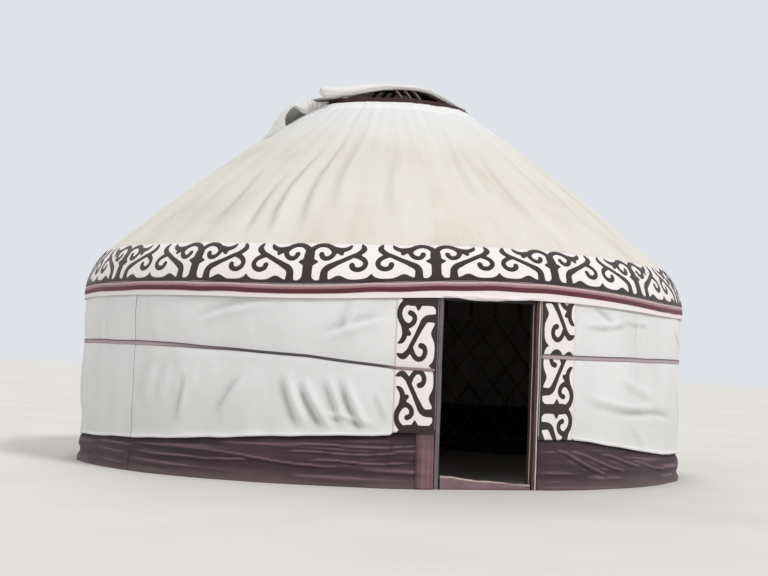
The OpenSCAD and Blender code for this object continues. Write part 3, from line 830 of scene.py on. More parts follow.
def crease_relief(a, z, creases=CREASES):
    """The ridges and hollows of the creases alone."""
    total = 0.0 * a * z
    for a0, z0, a1, z1, bow, height, half in creases:
        centre = (a0 + a1) / 2
        t, off = beside(signed(a - centre) + centre - a0, z - z0, a0, z0, a1, z1)
        off = off - bow * 4 * t * (1 - t)
        inside = smooth(t / 0.35) * smooth((1 - t) / 0.35)
        total = total + height * inside * (ridge(off, half) - 0.55 * ridge(off / half - 1.7, 1.2))
    return total


def wall_relief(a, z):
    """How far the wall covers stand off an even wall."""
    a = np.where(a > 330, a - 360, a)
    waves = 0.006 * round_noise(a, 10, z / 0.45, 32) + 0.0022 * round_noise(a, 2.5, z / 0.16, 33)
    rods = 0.0012 * np.cos(np.radians(a - DOOR_A) * 360 / POLE_PITCH) * np.cos(z * 2 * pi / 0.40)
    # the belt presses in, and the covers swell a little above and below it
    up = z - belt_height(a)
    total = (waves + rods + crease_relief(a, z)) * (0.25 + 0.75 * smooth(np.abs(up) / 0.09))
    for reach in (up / 0.46, -up / 0.72):
        total = total + 0.010 * np.sin(pi * np.clip(reach, 0, 1))
    return total - 0.004 * ridge(up, 0.035)


def on_wall(a, z, lift=0.0):
    """Places on the outside of the wall covers."""
    a, z, lift = np.broadcast_arrays(a, z, lift)
    calm = smooth((from_door(a) - DOOR_A) / 2.0) * smooth((EAVE_Z - 0.02 - z) / 0.06)
    return at(WALL_R - 0.002 + wall_relief(a, z) * calm + lift, a, z)


print("the belt's height at the left post and behind", belt_height(np.array([-9.2, 180])))

# %% [markdown]
# Six covers stand round the lattice, each hemmed and lapped over the next. Their tops hide
# under the roof's hem, their feet are cut on the slant beside the doorway, and the hollows
# of the creases keep a number for painted shade, strong in the drawn ones.

# %% Wall covers
COVER_T, COVER_T_LOW = 0.018, 0.010
HEAD_Z = EAVE_Z - 0.010
SECTOR = (360 - 2 * DOOR_A) / 6
PANELS = ["front_right", "right", "back_right", "back_left", "left", "front_left"]


def lap_lift(a):
    """How much thicker the covers are where one laps over the next."""
    off = (a - DOOR_A + SECTOR / 2) % SECTOR - SECTOR / 2
    lap = 0.009 * smooth((off + 1.1) / 0.5) * smooth((1.0 - off) / 0.5)
    return np.where((a > 30) & (a < 330), lap, 0.0)


for k, panel in enumerate(PANELS):
    a0 = DOOR_A + k * SECTOR
    # each cover but the last laps 20 mm over the next one, and its edges are hemmed
    last = k == len(PANELS) - 1
    V, A = grid_of(np.linspace(0, 1, 62), np.linspace(a0, a0 + SECTOR + 0.4 * (not last), 150))
    foot = cover_foot(A) + 0.006 * round_noise(A, 4, 0, 34)
    Z = foot + (HEAD_Z + 0.85 * eave_lift(A) - foot) * V
    over = 0.006 * smooth((A - a0 - SECTOR + 0.6) / 0.3) * (not last)
    hem = 0.002 * ridge(Z - foot - 0.02, 0.022, 6)
    side = 0.0015 * ridge(A - a0 - 0.35, 0.33, 6)
    flare = 0.008 * (1 - smooth((Z - foot) / 0.07)) * (1.3 + round_noise(A, 2.4, 0, 35))
    bare = smooth((from_door(A) - 15.9) / 0.4)
    outside = on_wall(A, Z, over + (hem + side + flare) * bare)
    thick = np.where(Z < 0.56, COVER_T_LOW, COVER_T) - over
    # painted shade in the hollows of the creases, faint in those drawn by chance
    soil = (0.62 * np.clip(-crease_relief(A, Z, CREASES[:DRAWN]) / 0.016, 0, 1)
            + 0.12 * np.clip(-crease_relief(A, Z, CREASES[DRAWN:]) / 0.010, 0, 1))
    build_sheet(f"wall_cover_{panel}_canvas", outside, outside - at(thick, A, 0.0),
                [wall_canvas, lining_felt], "wall_canvas", "stretched", ["lattice_rods"],
                f"wall_cover_{panel}", soil=soil)

# %% [markdown]
# Round the foot of the wall runs a skirt of thin maroon cloth. It is longer than it needs
# to be, so it lies in level folds and spreads a little on the ground.

# %% The skirt's surface
SKIRT_R = 2.985
# long folds that the photograph shows: angle and height at both ends, height, half width
SKIRT_FOLDS = [
    (11.5, 0.37, 25.5, 0.10, 0.020, 0.013), (15, 0.34, 31, 0.13, 0.014, 0.011),
    (22, 0.31, 37, 0.17, 0.016, 0.012), (30, 0.24, 47, 0.13, 0.014, 0.012),
    (-33, 0.33, -10, 0.355, 0.014, 0.010), (-34, 0.27, -14, 0.285, 0.016, 0.011),
    (-30, 0.205, -12, 0.21, 0.014, 0.010), (-48, 0.24, -22, 0.15, 0.016, 0.012),
    (-62, 0.16, -36, 0.20, 0.014, 0.012)]


def skirt_top(a):
    """Where the covers above the skirt end at angle a."""
    return np.where(from_door(a) < 16.2, 0.43, cover_foot(a))


def on_skirt(a, z, lift=0.0):
    """Places on the outside of the skirt."""
    a, z, lift = np.broadcast_arrays(a, z, lift)
    free = smooth((skirt_top(a) - 0.010 - z) / 0.06)
    level = round_noise(a, 12, z / 0.042 + a % 360 / 40, 41)
    folds = (0.013 * np.abs(level) ** 0.7 * np.sign(level)
             + 0.006 * round_noise(a, 20, z / 0.14, 42))
    for a0, z0, a1, z1, height, half in SKIRT_FOLDS:
        t, off = beside(signed(a - a0), z - z0, a0, z0, a1, z1)
        off = off + 0.010 * np.sin(7 * t + 20 * height)
        inside = smooth(t / 0.25) * smooth((1 - t) / 0.25)
        folds = folds + height * inside * (ridge(off, half) - 0.4 * ridge(off / half - 1.8, 1.1))
    spread = 0.030 * np.exp(-z / 0.045) * (1 + 0.5 * round_noise(a, 6, 0, 43))
    calm = 0.35 + 0.65 * smooth((from_door(a) - DOOR_A) / 2.5)
    # the folds never dip into the rods: what would is rounded off to nothing
    out = 0.006 * np.log1p(np.exp((0.016 + folds) / 0.006)) + spread
    return at(SKIRT_R + free * calm * out + lift, a, z)


print("the covers end beside the doorway and behind at", skirt_top(np.array([12, 180])), "m")

# %% [markdown]
# The skirt comes in six lengths, each lapped over the next. Its mesh keeps two numbers for
# the material: a painted shadow just under the covers, and a painted highlight on the
# ridges of its folds. Left of the doorway a faded length hangs in upright pleats, up against
# the door post.

# %% Skirt
SKIRT_H, SKIRT_T = 0.56, 0.005
skirt_rows = np.concatenate([np.linspace(0.0, 0.47, 52), np.linspace(0.49, SKIRT_H, 5)])
for k, panel in enumerate(PANELS):
    a0 = DOOR_A + k * SECTOR
    Z, A = grid_of(skirt_rows, np.linspace(a0, a0 + SECTOR, 170))
    lap = 0.004 * smooth((A - a0 - SECTOR + 0.8) / 0.3) * smooth((0.22 - Z) / 0.05)
    outside = on_skirt(A, Z, lap)
    # a painted shadow, darkest right under the covers
    shaded = 0.85 * np.exp(-np.maximum(skirt_top(A) - Z, 0) / 0.030)
    # a painted highlight on the ridges, which stand out further than the cloth just above and
    # below
    out, above, below = (np.linalg.norm(on_skirt(A, Z + step)[..., :2], axis=-1)
                         for step in (0, 0.016, -0.016))
    faded = 0.62 * np.clip((out - (above + below) / 2 - 0.0006) / 0.0040, 0, 1) ** 1.4
    build_sheet(f"skirt_{panel}_cloth", outside, outside - at(SKIRT_T, A, 0.0), [skirt_cotton],
                "skirt_cloth", "hung", ["lattice_rods"], f"skirt_{panel}", soil=shaded, faded=faded)

# the faded length: where it begins on the left, and its top
END_A, END_TOP = -12.1, 0.50
Z, A = grid_of(np.linspace(0.005, END_TOP, 30), np.linspace(END_A, -9.12, 50))
pleats = (0.005 * np.sin(np.radians((A - END_A) * 400)) * smooth((END_TOP - Z) / 0.2)
          * smooth((A - END_A) / 0.4))
outside = on_skirt(A, Z, 0.008 + pleats * smooth((-9.15 - A) / 0.2))
# darker towards its left edge and towards its top
deep = (0.92 * smooth((-10.9 - A) / 1.1)
        + 0.45 * smooth((Z - 0.24) / 0.22) * smooth((A - END_A) / 2))
build_sheet("skirt_end_faded", outside, outside - at(0.004, A, 0.0), [faded_cotton], "skirt_cloth",
            "hung", ["door_post_left_painted"], soil=np.clip(deep, 0, 1))

# %% [markdown]
# On both sides of the doorway hangs a strip of the same ornament, turned upright, with the
# dark foot of the pattern against the door post. The left one starts half a repeat lower.

# %% Strips beside the door
STRIP_W, STRIP_T = 0.355, 0.004
STRIP_FROM = DOOR_A + 0.06
STRIP_FOOT = {"left": 0.468, "right": 0.432}
# the pattern is a little longer and narrower here than on the eave
STRIP_U, STRIP_V = 0.544 / HALF_REPEAT, STRIP_W / SCROLL_H


def on_strip(side, v, z, lift):
    """Places on a strip, v metres from the door post at height z. side is -1 on the left."""
    return on_wall(side * (STRIP_FROM + v / WALL_R / radians(1)), z, STRIP_T + lift)


for name, side, trunk in (("left", -1, 1.578), ("right", 1, 0.700)):
    foot = STRIP_FOOT[name]
    Z, V = grid_of(np.linspace(foot, HEAD_Z, 60), np.linspace(0, STRIP_W, 20)[::side])
    ground = on_strip(side, V, Z, 0.0)
    inward = at(0.003, side * (DOOR_A + V / WALL_R / radians(1)), 0.0)
    build_sheet(f"door_strip_{name}_felt", ground, ground - inward, [white_felt],
                "ornament_felt", "hung", [f"wall_cover_front_{name}_canvas"], f"door_strip_{name}")
    cut_felt(f"door_strip_{name}_scrolls",
             lambda u, v: scroll_distance((foot + u - trunk) / STRIP_U, v / STRIP_V) * STRIP_V,
             HEAD_Z - foot, STRIP_W, 0.0085, lambda u, v, lift: on_strip(side, v, foot + u, lift),
             flip=side > 0)

# %% [markdown]
# A woven belt goes round the wall covers from one door post to the other. On the left it
# drops towards the doorway. It is a flat strap with a rounded edge, and the canvas swells
# a little above and below it.

# %% Belt
BELT_W, BELT_T = 0.040, 0.006
# a flat strap of plain wool, greyed by weather: thick ribs across it, and painted shade along
# its top edge
belt_wool = striped_material("woven_wool_belt", BELT_W, [
    (0.0, "#b3a2aa"), (0.16, "#c7b6bd"), (0.5, "#cdbdc4"), (0.70, "#b09fa8"), (0.80, "#66545f"),
    (1.0, "#5d4b56")], 0.010, ends=[("#5b5557", 15.2, 16.2), ("#a9979c", 17.48, 17.58)])
V, A = grid_of(np.linspace(0, 1, 7), np.concatenate([
    np.arange(DOOR_A + 0.15, 60, 0.5), np.arange(60, 300, 0.75), np.arange(300, 350.8, 0.5)]))
# it narrows to the left post, and it lies over the strips and the laps of the covers
narrow = 1 - 0.40 * smooth((A - 300) / 20)
lift = 0.008 * smooth((DOOR_A + 7.4 - from_door(A)) / 0.5) + lap_lift(A)
Z = belt_height(A) + (V - 0.5) * BELT_W * narrow + 0.003 * round_noise(A, 6, 0, 51)
build_sheet("wall_belt_woven", on_wall(A, Z, BELT_T * (0.5 + 0.5 * strap_round(V)) + lift),
            on_wall(A, Z, 0.0003 + lift * 0.9), [belt_wool], "woven_belt", "stretched",
            ["wall_cover_back_left_canvas"], "wall_belt")

# %% [markdown]
# The door frame is planed wood under old brown paint. Where hands and shoulders pass, the
# edges are worn to pale wood. The wear is a number stored in the mesh, one at an edge and
# zero on the flat, and the material breaks it up with noise. On the grey paint of the left
# post and the lintel the same number draws painted shade, almost black, instead.

# %% Painted wood
def wood_material(name, paint, grain, wear_and_shade_stops=None, rough=0.6, stretch=(1, 1, 1)):
    """Painted or bare wood. paint is a list of ramp stops, and so is the second colour that the
    stored share mixes in: pale worn wood on most paints, painted shade on the grey paint.
    grain is the spacing of the brush marks or growth lines in metres, and stretch is small
    along the grain."""
    made, tree = new_material(name)
    place = node(tree, "ShaderNodeTexCoord").outputs["Object"]
    along = node(tree, "ShaderNodeMapping", {"Vector": place, "Scale": stretch})
    lines = node(tree, "ShaderNodeTexNoise", {"Vector": along, "Scale": 1 / grain, "Detail": 4.0})
    blotch = node(tree, "ShaderNodeTexNoise", {"Vector": place, "Scale": 14.0, "Detail": 5.0})
    both = node(tree, "ShaderNodeMath", {0: lines, 1: blotch}, operation="ADD")
    half = node(tree, "ShaderNodeMath", {0: both, 1: 0.5}, operation="MULTIPLY")
    colour = node(tree, "ShaderNodeValToRGB", {"Fac": half}, stops=paint)
    if wear_and_shade_stops:
        # the stored share of wear, which on the grey paint is the share of painted shade
        edge = node(tree, "ShaderNodeAttribute", attribute_name="wear_and_shade").outputs["Fac"]
        chips = node(tree, "ShaderNodeTexNoise", {"Vector": along, "Scale": 45.0, "Detail": 6.0,
                                                  "Roughness": 0.7})
        reach = node(tree, "ShaderNodeMath", {0: chips, 1: edge}, operation="ADD")
        share = node(tree, "ShaderNodeMapRange", {"Value": reach, "From Min": 1.02,
                                                  "From Max": 1.20})
        # the second colour: pale worn wood, and on the grey paint a near-black painted shade
        bare = node(tree, "ShaderNodeValToRGB", {"Fac": lines}, stops=wear_and_shade_stops)
        colour = node(tree, "ShaderNodeMix", {0: share, 6: colour, 7: bare},
                      data_type="RGBA").outputs[2]
    bump = node(tree, "ShaderNodeBump", {"Height": half, "Distance": 0.0006, "Strength": 0.8})
    shader = node(tree, "ShaderNodeBsdfPrincipled", {"Base Color": colour, "Roughness": rough,
                                                     "Normal": bump})
    node(tree, "ShaderNodeOutputMaterial", {"Surface": shader})
    return made


# oil paint brushed on planed pine: half matt, with brush marks along the wood, pale worn edges
door_paint = wood_material("old_brown_paint_on_pine", [(0.3, "#3d282a"), (0.7, "#503839")], 0.006,
                           [(0.3, "#bfa39b"), (0.7, "#dcc6bc")], stretch=(1, 1, 0.06))
# the same work where rain and sun have greyed it, with painted shade, almost black, in the
# rebate and on the lintel
shaded_paint = wood_material("weathered_grey_paint_with_painted_shade", [(0.3, "#5b5157"), (0.7, "#73686d")],
                             0.006, [(0.3, "#17131a"), (0.7, "#241d24")], stretch=(1, 1, 0.06))
# maroon paint dulled by shoes, worn through to the wood along the top
sill_paint = wood_material("trodden_maroon_paint_on_pine", [(0.35, "#6c555b"), (0.7, "#8a7076")],
                           0.007, [(0.3, "#b39b92"), (0.7, "#c9b3a6")], rough=0.75,
                           stretch=(0.06, 1, 1))
print("paints", [m.name for m in (door_paint, shaded_paint, sill_paint)])

# %% [markdown]
# A board or a roll is lofted: its section is drawn again and again along its length, and
# faces join each section to the next. A board's section has softened corners, and each of
# its places knows how worn it is, which on the grey paint is its share of painted shade.

# %% Lofted pieces
def loft(name, sections, material, stands_for=None, wear_and_shade=None, uv=None):
    """A closed solid through sections of equal length, each a loop of places. Its list of
    shares gives each place of a section its share of edge wear, which on the grey paint is
    painted shade. uv is the length of a step from section to section and of one round a
    section, and where its UV map starts."""
    sections = np.array(sections, float)
    n, m = sections.shape[:2]
    faces = [[i * m + k, i * m + (k + 1) % m, (i + 1) * m + (k + 1) % m, (i + 1) * m + k]
             for i in range(n - 1) for k in range(m)]
    faces += [list(range(m)), [(n - 1) * m + k for k in range(m)]]
    mesh = bpy.data.meshes.new(name)
    mesh.from_pydata(sections.reshape(-1, 3).tolist(), [], faces)
    if wear_and_shade is not None:
        values = np.tile(np.array(wear_and_shade, float), n)
        mesh.attributes.new("wear_and_shade", "FLOAT", "POINT").data.foreach_set("value", values)
    turned = bmesh.new()
    turned.from_mesh(mesh)
    bmesh.ops.recalc_face_normals(turned, faces=turned.faces)
    turned.to_mesh(mesh)
    turned.free()
    mesh.shade_smooth()
    mesh.set_sharp_from_angle(angle=radians(40))
    if uv:
        layer = mesh.uv_layers.new(name="cloth_metres")
        for loop in mesh.loops:
            i, k = divmod(loop.vertex_index, m)
            layer.data[loop.index].uv = (i * uv[0], uv[2] + k * uv[1])
    made = add_object(name, mesh, material)
    print(f"{name}: {len(faces)} faces")
    finish_piece(made, stands_for)
    return made


def board_section(points, corner, shares=None):
    """A closed outline with softened corners, and the share of wear of each of its places, which
    on the grey paint is painted shade. shares is how much each corner is marked."""
    points = np.array(points, float)
    outline, wear_and_shade = [], []
    for before, p, after, share in zip(np.roll(points, 1, 0), points, np.roll(points, -1, 0),
                                       shares or [1] * len(points)):
        back, ahead = before - p, after - p
        lengths = np.linalg.norm(back), np.linalg.norm(ahead)
        cut = min(corner, 0.3 * lengths[0], 0.3 * lengths[1])
        back, ahead = back / lengths[0], ahead / lengths[1]
        outline += [p + back * cut * 2.2, p + back * cut, p + (back + ahead) * cut * 0.3,
                    p + ahead * cut, p + ahead * cut * 2.2]
        wear_and_shade += [w * share for w in (0.35, 0.8, 1.0, 0.8, 0.35)]
        # three more places divide the flat to the next corner
        for k in (1, 2, 3):
            outline.append(p + ahead * (cut * 2.2 + (lengths[1] - cut * 4.4) * k / 4))
            wear_and_shade.append(0.0)
    return np.array(outline), wear_and_shade


print("places in a board's section", len(board_section([(0, 0), (1, 0), (1, 1), (0, 1)], 0.1)[0]))

# %% [markdown]
# Each post is one section with a rebate for the missing door, lofted upwards with a slight
# bow, because an old post is never quite straight. The lintel and the sill are lofted across.
# The sill is trodden down towards the right, so its sections are lower there.

# %% Door frame
DOOR_W, POST_W, POST_D = 0.82, 0.055, 0.10
FRONT, REBATE, REBATE_D = -2.9597, 0.014, 0.035
LINTEL_LOW = 1.592
FULL_WEAR_AND_SHADE = 1.7
for name, side in (("left", -1), ("right", 1)):
    # outside is -y. A shallow rebate for the missing door runs down the outer half.
    inner, outer = DOOR_W / 2, DOOR_W / 2 + POST_W
    outline, wear_and_shade = board_section(
        [(inner + REBATE, FRONT), (outer, FRONT), (outer, FRONT + POST_D), (inner, FRONT + POST_D),
         (inner, FRONT + REBATE_D), (inner + REBATE, FRONT + REBATE_D)], 0.0065,
        shares=(0.1, FULL_WEAR_AND_SHADE, 0.1, 0.1, 0.9, 0.1))
    if side < 0:
        # the other way round: grey paint outside, and painted shade, almost black, in the rebate
        wear_and_shade = [FULL_WEAR_AND_SHADE * (x < inner + REBATE + 0.004) for x, y in outline]
    sections = [[(side * (x + 0.0012 * sin(9 * z + x * 40)), y + 0.0015 * sin(5 * z + 1), z)
                 for x, y in outline] for z in np.linspace(0.0, EAVE_Z, 60)]
    loft(f"door_post_{name}_painted", sections, door_paint if side > 0 else shaded_paint,
         f"door_post_{name}", wear_and_shade)

# the lintel is painted shade all over, in the grey paint's near-black second colour
outline, wear_and_shade = board_section([(FRONT, LINTEL_LOW), (FRONT + POST_D, LINTEL_LOW),
                               (FRONT + POST_D, EAVE_Z), (FRONT, EAVE_Z)], 0.005)
sections = [[(x, y, z) for y, z in outline] for x in np.linspace(-DOOR_W / 2, DOOR_W / 2, 30)]
loft("door_lintel_painted", sections, shaded_paint, "door_lintel",
     [FULL_WEAR_AND_SHADE] * len(outline))

sections = []
for x in np.linspace(-DOOR_W / 2, DOOR_W / 2, 44):
    top = (0.085 - 0.035 * x / (DOOR_W / 2) - 0.010 * cos(x * 3.4) + 0.003 * sin(17 * x)
           + 0.002 * sin(41 * x + 1))
    outline, wear_and_shade = board_section([(FRONT, 0.0), (FRONT + POST_D, 0.0), (FRONT + POST_D, top),
                                   (FRONT, top)], 0.012, shares=(0.2, 0.1, 0.6, 0.75))
    sections.append([(x, y, z) for y, z in outline])
loft("door_sill_worn", sections, sill_paint, "door_sill", wear_and_shade)

# %% [markdown]
# The 60 roof poles are alike: round, bent near the foot and thinner towards the crown. That
# is a job for Geometry Nodes. A tree takes centre lines, gives them a section and sets
# copies round the tent, and its result is made a plain mesh. The lattice, its knots and the
# stitches are made the same way, so these helpers serve all four trees.

# %% Helpers for Geometry Nodes
def new_tree(name, sizes):
    """An empty Geometry Nodes tree with named sizes, a material and the wire it starts from."""
    made = bpy.data.node_groups.new(name, "GeometryNodeTree")
    add = made.interface.new_socket
    add("Geometry", in_out="INPUT", socket_type="NodeSocketGeometry")
    for title, default in sizes.items():
        kind = "NodeSocketInt" if isinstance(default, int) else "NodeSocketFloat"
        add(title, in_out="INPUT", socket_type=kind).default_value = default
    add("Material", in_out="INPUT", socket_type="NodeSocketMaterial")
    add("Geometry", in_out="OUTPUT", socket_type="NodeSocketGeometry")
    return made, made.nodes.new("NodeGroupInput").outputs


def end_tree(tree, given, last):
    """The end of every tree: copies become real faces, smooth and with their material."""
    real = node(tree, "GeometryNodeRealizeInstances", {0: last})
    even = node(tree, "GeometryNodeSetShadeSmooth", {0: real})
    dressed = node(tree, "GeometryNodeSetMaterial", {0: even, "Material": given["Material"]})
    node(tree, "NodeGroupOutput", {"Geometry": dressed})


def bake_tree(name, lines, tree, values, stands_for=None):
    """Runs a tree on lines of places, and keeps the result as a finished plain mesh."""
    points, edges = [], []
    for line in lines:
        edges += [(len(points) + i, len(points) + i + 1) for i in range(len(line) - 1)]
        points += [tuple(p) for p in line]
    wire = bpy.data.meshes.new(name)
    wire.from_pydata(points, edges, [])
    made = add_object(name, wire)
    modifier = made.modifiers.new("nodes", "NODES")
    modifier.node_group = tree
    for item in tree.interface.items_tree:
        if item.in_out == "INPUT" and item.name in values:
            modifier[item.identifier] = values[item.name]
    depsgraph = bpy.context.evaluated_depsgraph_get()
    mesh = bpy.data.meshes.new_from_object(made.evaluated_get(depsgraph), depsgraph=depsgraph)
    mesh.name = name
    made.modifiers.remove(modifier)
    made.data = mesh
    print(f"{name}: {len(mesh.polygons)} faces")
    finish_piece(made, stands_for)


print("node groups so far", len(bpy.data.node_groups))

# %% [markdown]
# The poles' tree sweeps a ring along one centre line, thinner towards its end. It sets
# copies of that pole on points in the middle of the tent, each turned one pitch further.

# %% The tree of the poles
poles_tree, given = new_tree("round_poles", {"Radius": 0.017, "Thin End": 0.75, "Count": 56,
                                             "First Angle": 0.0, "Pitch": 0.1})
line = node(poles_tree, "GeometryNodeMeshToCurve", {"Mesh": given["Geometry"]})
along = node(poles_tree, "GeometryNodeSplineParameter").outputs["Factor"]
taper = node(poles_tree, "ShaderNodeMapRange", {"Value": along, "To Min": 1.0,
                                                "To Max": given["Thin End"]})
ring = node(poles_tree, "GeometryNodeCurvePrimitiveCircle", {"Resolution": 10,
                                                             "Radius": given["Radius"]})
swept = node(poles_tree, "GeometryNodeCurveToMesh", {"Curve": line, "Profile Curve": ring,
                                                     "Scale": taper, "Fill Caps": True})
dots = node(poles_tree, "GeometryNodeMeshLine", {"Count": given["Count"],
                                                 "Offset": (0.0, 0.0, 0.0)})
order = node(poles_tree, "GeometryNodeInputIndex")
angle = node(poles_tree, "ShaderNodeMath", {0: order, 1: given["Pitch"], 2: given["First Angle"]},
             operation="MULTIPLY_ADD")
turn = node(poles_tree, "ShaderNodeCombineXYZ", {"Z": angle})
copies = node(poles_tree, "GeometryNodeInstanceOnPoints", {"Points": dots, "Instance": swept,
                                                           "Rotation": turn})
end_tree(poles_tree, given, copies)
print("the poles' tree has", len(poles_tree.nodes), "nodes")

# %% [markdown]
# One centre line serves all the poles. It is worked out in the plane of the doorway: up
# from the lattice, round the bend under the roof cover and straight on to the crown ring,
# with a little upward bow. The four poles over the doorway start from the lintel.

# %% Roof poles
# oil paint brushed on peeled willow, the traditional red: a soft gloss over a fine grain
pole_paint = wood_material("red_oil_paint_on_willow", [(0.3, "#6e241f"), (0.7, "#8e332b")], 0.01,
                           rough=0.5)
POLE_R, POLE_END_R, POLE_BOW = 0.017, 0.755, 0.018
LATTICE_MID_R = 2.966
POLE_BEND = BEND_R - ROOF_COVER_T - POLE_R
BEND_X = LATTICE_MID_R - POLE_BEND
BEND_Z = EAVE_Z + (BEND_C - BEND_X) * tan(ROOF_SLOPE)


def pole_line(foot):
    """Centre line of a pole in the plane of the doorway, from its foot to the crown ring."""
    bend = [(BEND_X + POLE_BEND * cos(t), BEND_Z + POLE_BEND * sin(t))
            for t in np.linspace(0, BEND_END, 10)]
    r, z = bend[-1]
    run = r - POLE_END_R
    slope = [(r - run * t, z + run * tan(ROOF_SLOPE) * t + POLE_BOW * sin(pi * t))
             for t in np.linspace(0, 1, 9)[1:]]
    return [(0.0, -r, z) for r, z in [(LATTICE_MID_R, foot)] + bend + slope]


for name, foot, count, first, pitch, stands_for in (
        ("roof_poles_painted", LATTICE_H, 56, DOOR_A + POLE_PITCH, POLE_PITCH, "roof_poles"),
        ("roof_poles_over_door", EAVE_Z, 4, -DOOR_A, DOOR_A * 2 / 3, None)):
    bake_tree(name, [pole_line(foot)], poles_tree, {
        "Radius": POLE_R, "Count": count, "First Angle": radians(first),
        "Pitch": radians(pitch), "Material": pole_paint}, stands_for)

# %% [markdown]
# The lattice has two layers of willow rods that cross at a slant. The rods' centre lines are
# worked out on the round wall, and a second tree sweeps a flattened rod along each line.

# %% Lattice rods
# peeled willow without paint, browned by smoke: a fine grain and little gloss
willow = wood_material("smoked_peeled_willow", [(0.3, "#5d432d"), (0.7, "#855f40")], 0.008,
                       rough=0.7)
rods_tree, given = new_tree("flat_rods", {"Width": 0.026, "Thickness": 0.0115})
line = node(rods_tree, "GeometryNodeMeshToCurve", {"Mesh": given["Geometry"]})
ring = node(rods_tree, "GeometryNodeCurvePrimitiveCircle", {"Resolution": 8, "Radius": 0.5})
size = node(rods_tree, "ShaderNodeCombineXYZ", {"X": given["Width"], "Y": given["Thickness"],
                                                "Z": 1.0})
flattened = node(rods_tree, "GeometryNodeTransform", {"Geometry": ring, "Scale": size})
end_tree(rods_tree, given, node(rods_tree, "GeometryNodeCurveToMesh", {
    "Curve": line, "Profile Curve": flattened, "Fill Caps": True}))

LATTICE_ROWS, LATTICE_COLUMNS = 8, 114
COLUMN_A = POLE_PITCH / 2
# how far the first row of crossings lies from the rods' feet, and the last from their heads
ROD_END = 0.020
# the outer and the inner layer of rods, by the way they lean
ROD_RADII = {1: 2.9722, -1: 2.9598}


def on_lattice(r, column, row):
    """Places on the lattice, counted in crossings round the wall and up it."""
    return at(r, DOOR_A + column * COLUMN_A,
              ROD_END + row * (LATTICE_H - 2 * ROD_END) / LATTICE_ROWS)


rods, knots = [], set()
for lean, rod_r in ROD_RADII.items():
    for start in range(-LATTICE_ROWS, LATTICE_COLUMNS + LATTICE_ROWS + 1, 2):
        steps = [(start + lean * row, row) for row in range(LATTICE_ROWS + 1)
                 if 0 <= start + lean * row <= LATTICE_COLUMNS]
        if len(steps) > 1:
            knots.update(steps)
            # one more place between every two crossings keeps the rod on the round wall
            fine = np.linspace(0, len(steps) - 1, 2 * len(steps) - 1)
            rods.append(on_lattice(rod_r, *(np.interp(fine, range(len(steps)), ways)
                                            for ways in zip(*steps))))
bake_tree("lattice_rods", rods, rods_tree, {"Material": willow}, "lattice")

# %% [markdown]
# Where two rods cross they are tied with rawhide, on the inside of the wall. A third tree
# sets a knot on every crossing. The two upright edges of the lattice, beside the doorway,
# have none.

# %% Rawhide knots
# strips of rawhide that dried hard on the rods: yellowish, grainy and half glossy
rawhide = mottled_material("dried_rawhide", "ShaderNodeTexNoise", {"Scale": 90.0},
                           [(0.3, "#a08a68"), (0.7, "#c9b690")], 0.55)
KNOT_R = 2.9525
knots_tree, given = new_tree("knots", {"Radius": 0.008})
bead = node(knots_tree, "GeometryNodeMeshUVSphere", {"Segments": 6, "Rings": 4,
                                                     "Radius": given["Radius"]})
end_tree(knots_tree, given, node(knots_tree, "GeometryNodeInstanceOnPoints", {
    "Points": given["Geometry"], "Instance": bead, "Scale": (1.0, 1.0, 0.8)}))
bake_tree("lattice_knots", [[on_lattice(KNOT_R, column, row)] for column, row in sorted(knots)
                            if 0 < column < LATTICE_COLUMNS], knots_tree, {"Material": rawhide})

# %% [markdown]
# The band, the strips and the seams of the roof are sewn on by hand with thick thread. A
# stitch is a short bead that lies along its seam, so a tree turns each seam's line into
# evenly spaced points and sets a bead on each, turned along the line. The beads are drawn
# a little thicker than real thread, so that they show.

# %% Stitches by Geometry Nodes
# linen thread drawn through wax: straw coloured, with its 4 mm twist drawn coarse to show
thread = mottled_material("waxed_linen_thread", "ShaderNodeTexWave", {"Scale": ONE_BAND / 0.004},
                          [(0.2, "#b9ab93"), (0.8, "#d8ccb6")], 0.7, bands_direction="DIAGONAL")

sewing, given = new_tree("stitches", {"Spacing": 0.03, "Length": 0.013, "Thickness": 0.0032})
line = node(sewing, "GeometryNodeMeshToCurve", {"Mesh": given["Geometry"]})
spots = node(sewing, "GeometryNodeCurveToPoints", {"Curve": line, "Length": given["Spacing"]},
             mode="LENGTH")
bead = node(sewing, "GeometryNodeMeshUVSphere", {"Segments": 6, "Rings": 4, "Radius": 0.5})
size = node(sewing, "ShaderNodeCombineXYZ", {"X": given["Thickness"], "Y": given["Thickness"],
                                             "Z": given["Length"]})
end_tree(sewing, given, node(sewing, "GeometryNodeInstanceOnPoints", {
    "Points": spots, "Instance": bead, "Rotation": spots.outputs["Rotation"], "Scale": size}))

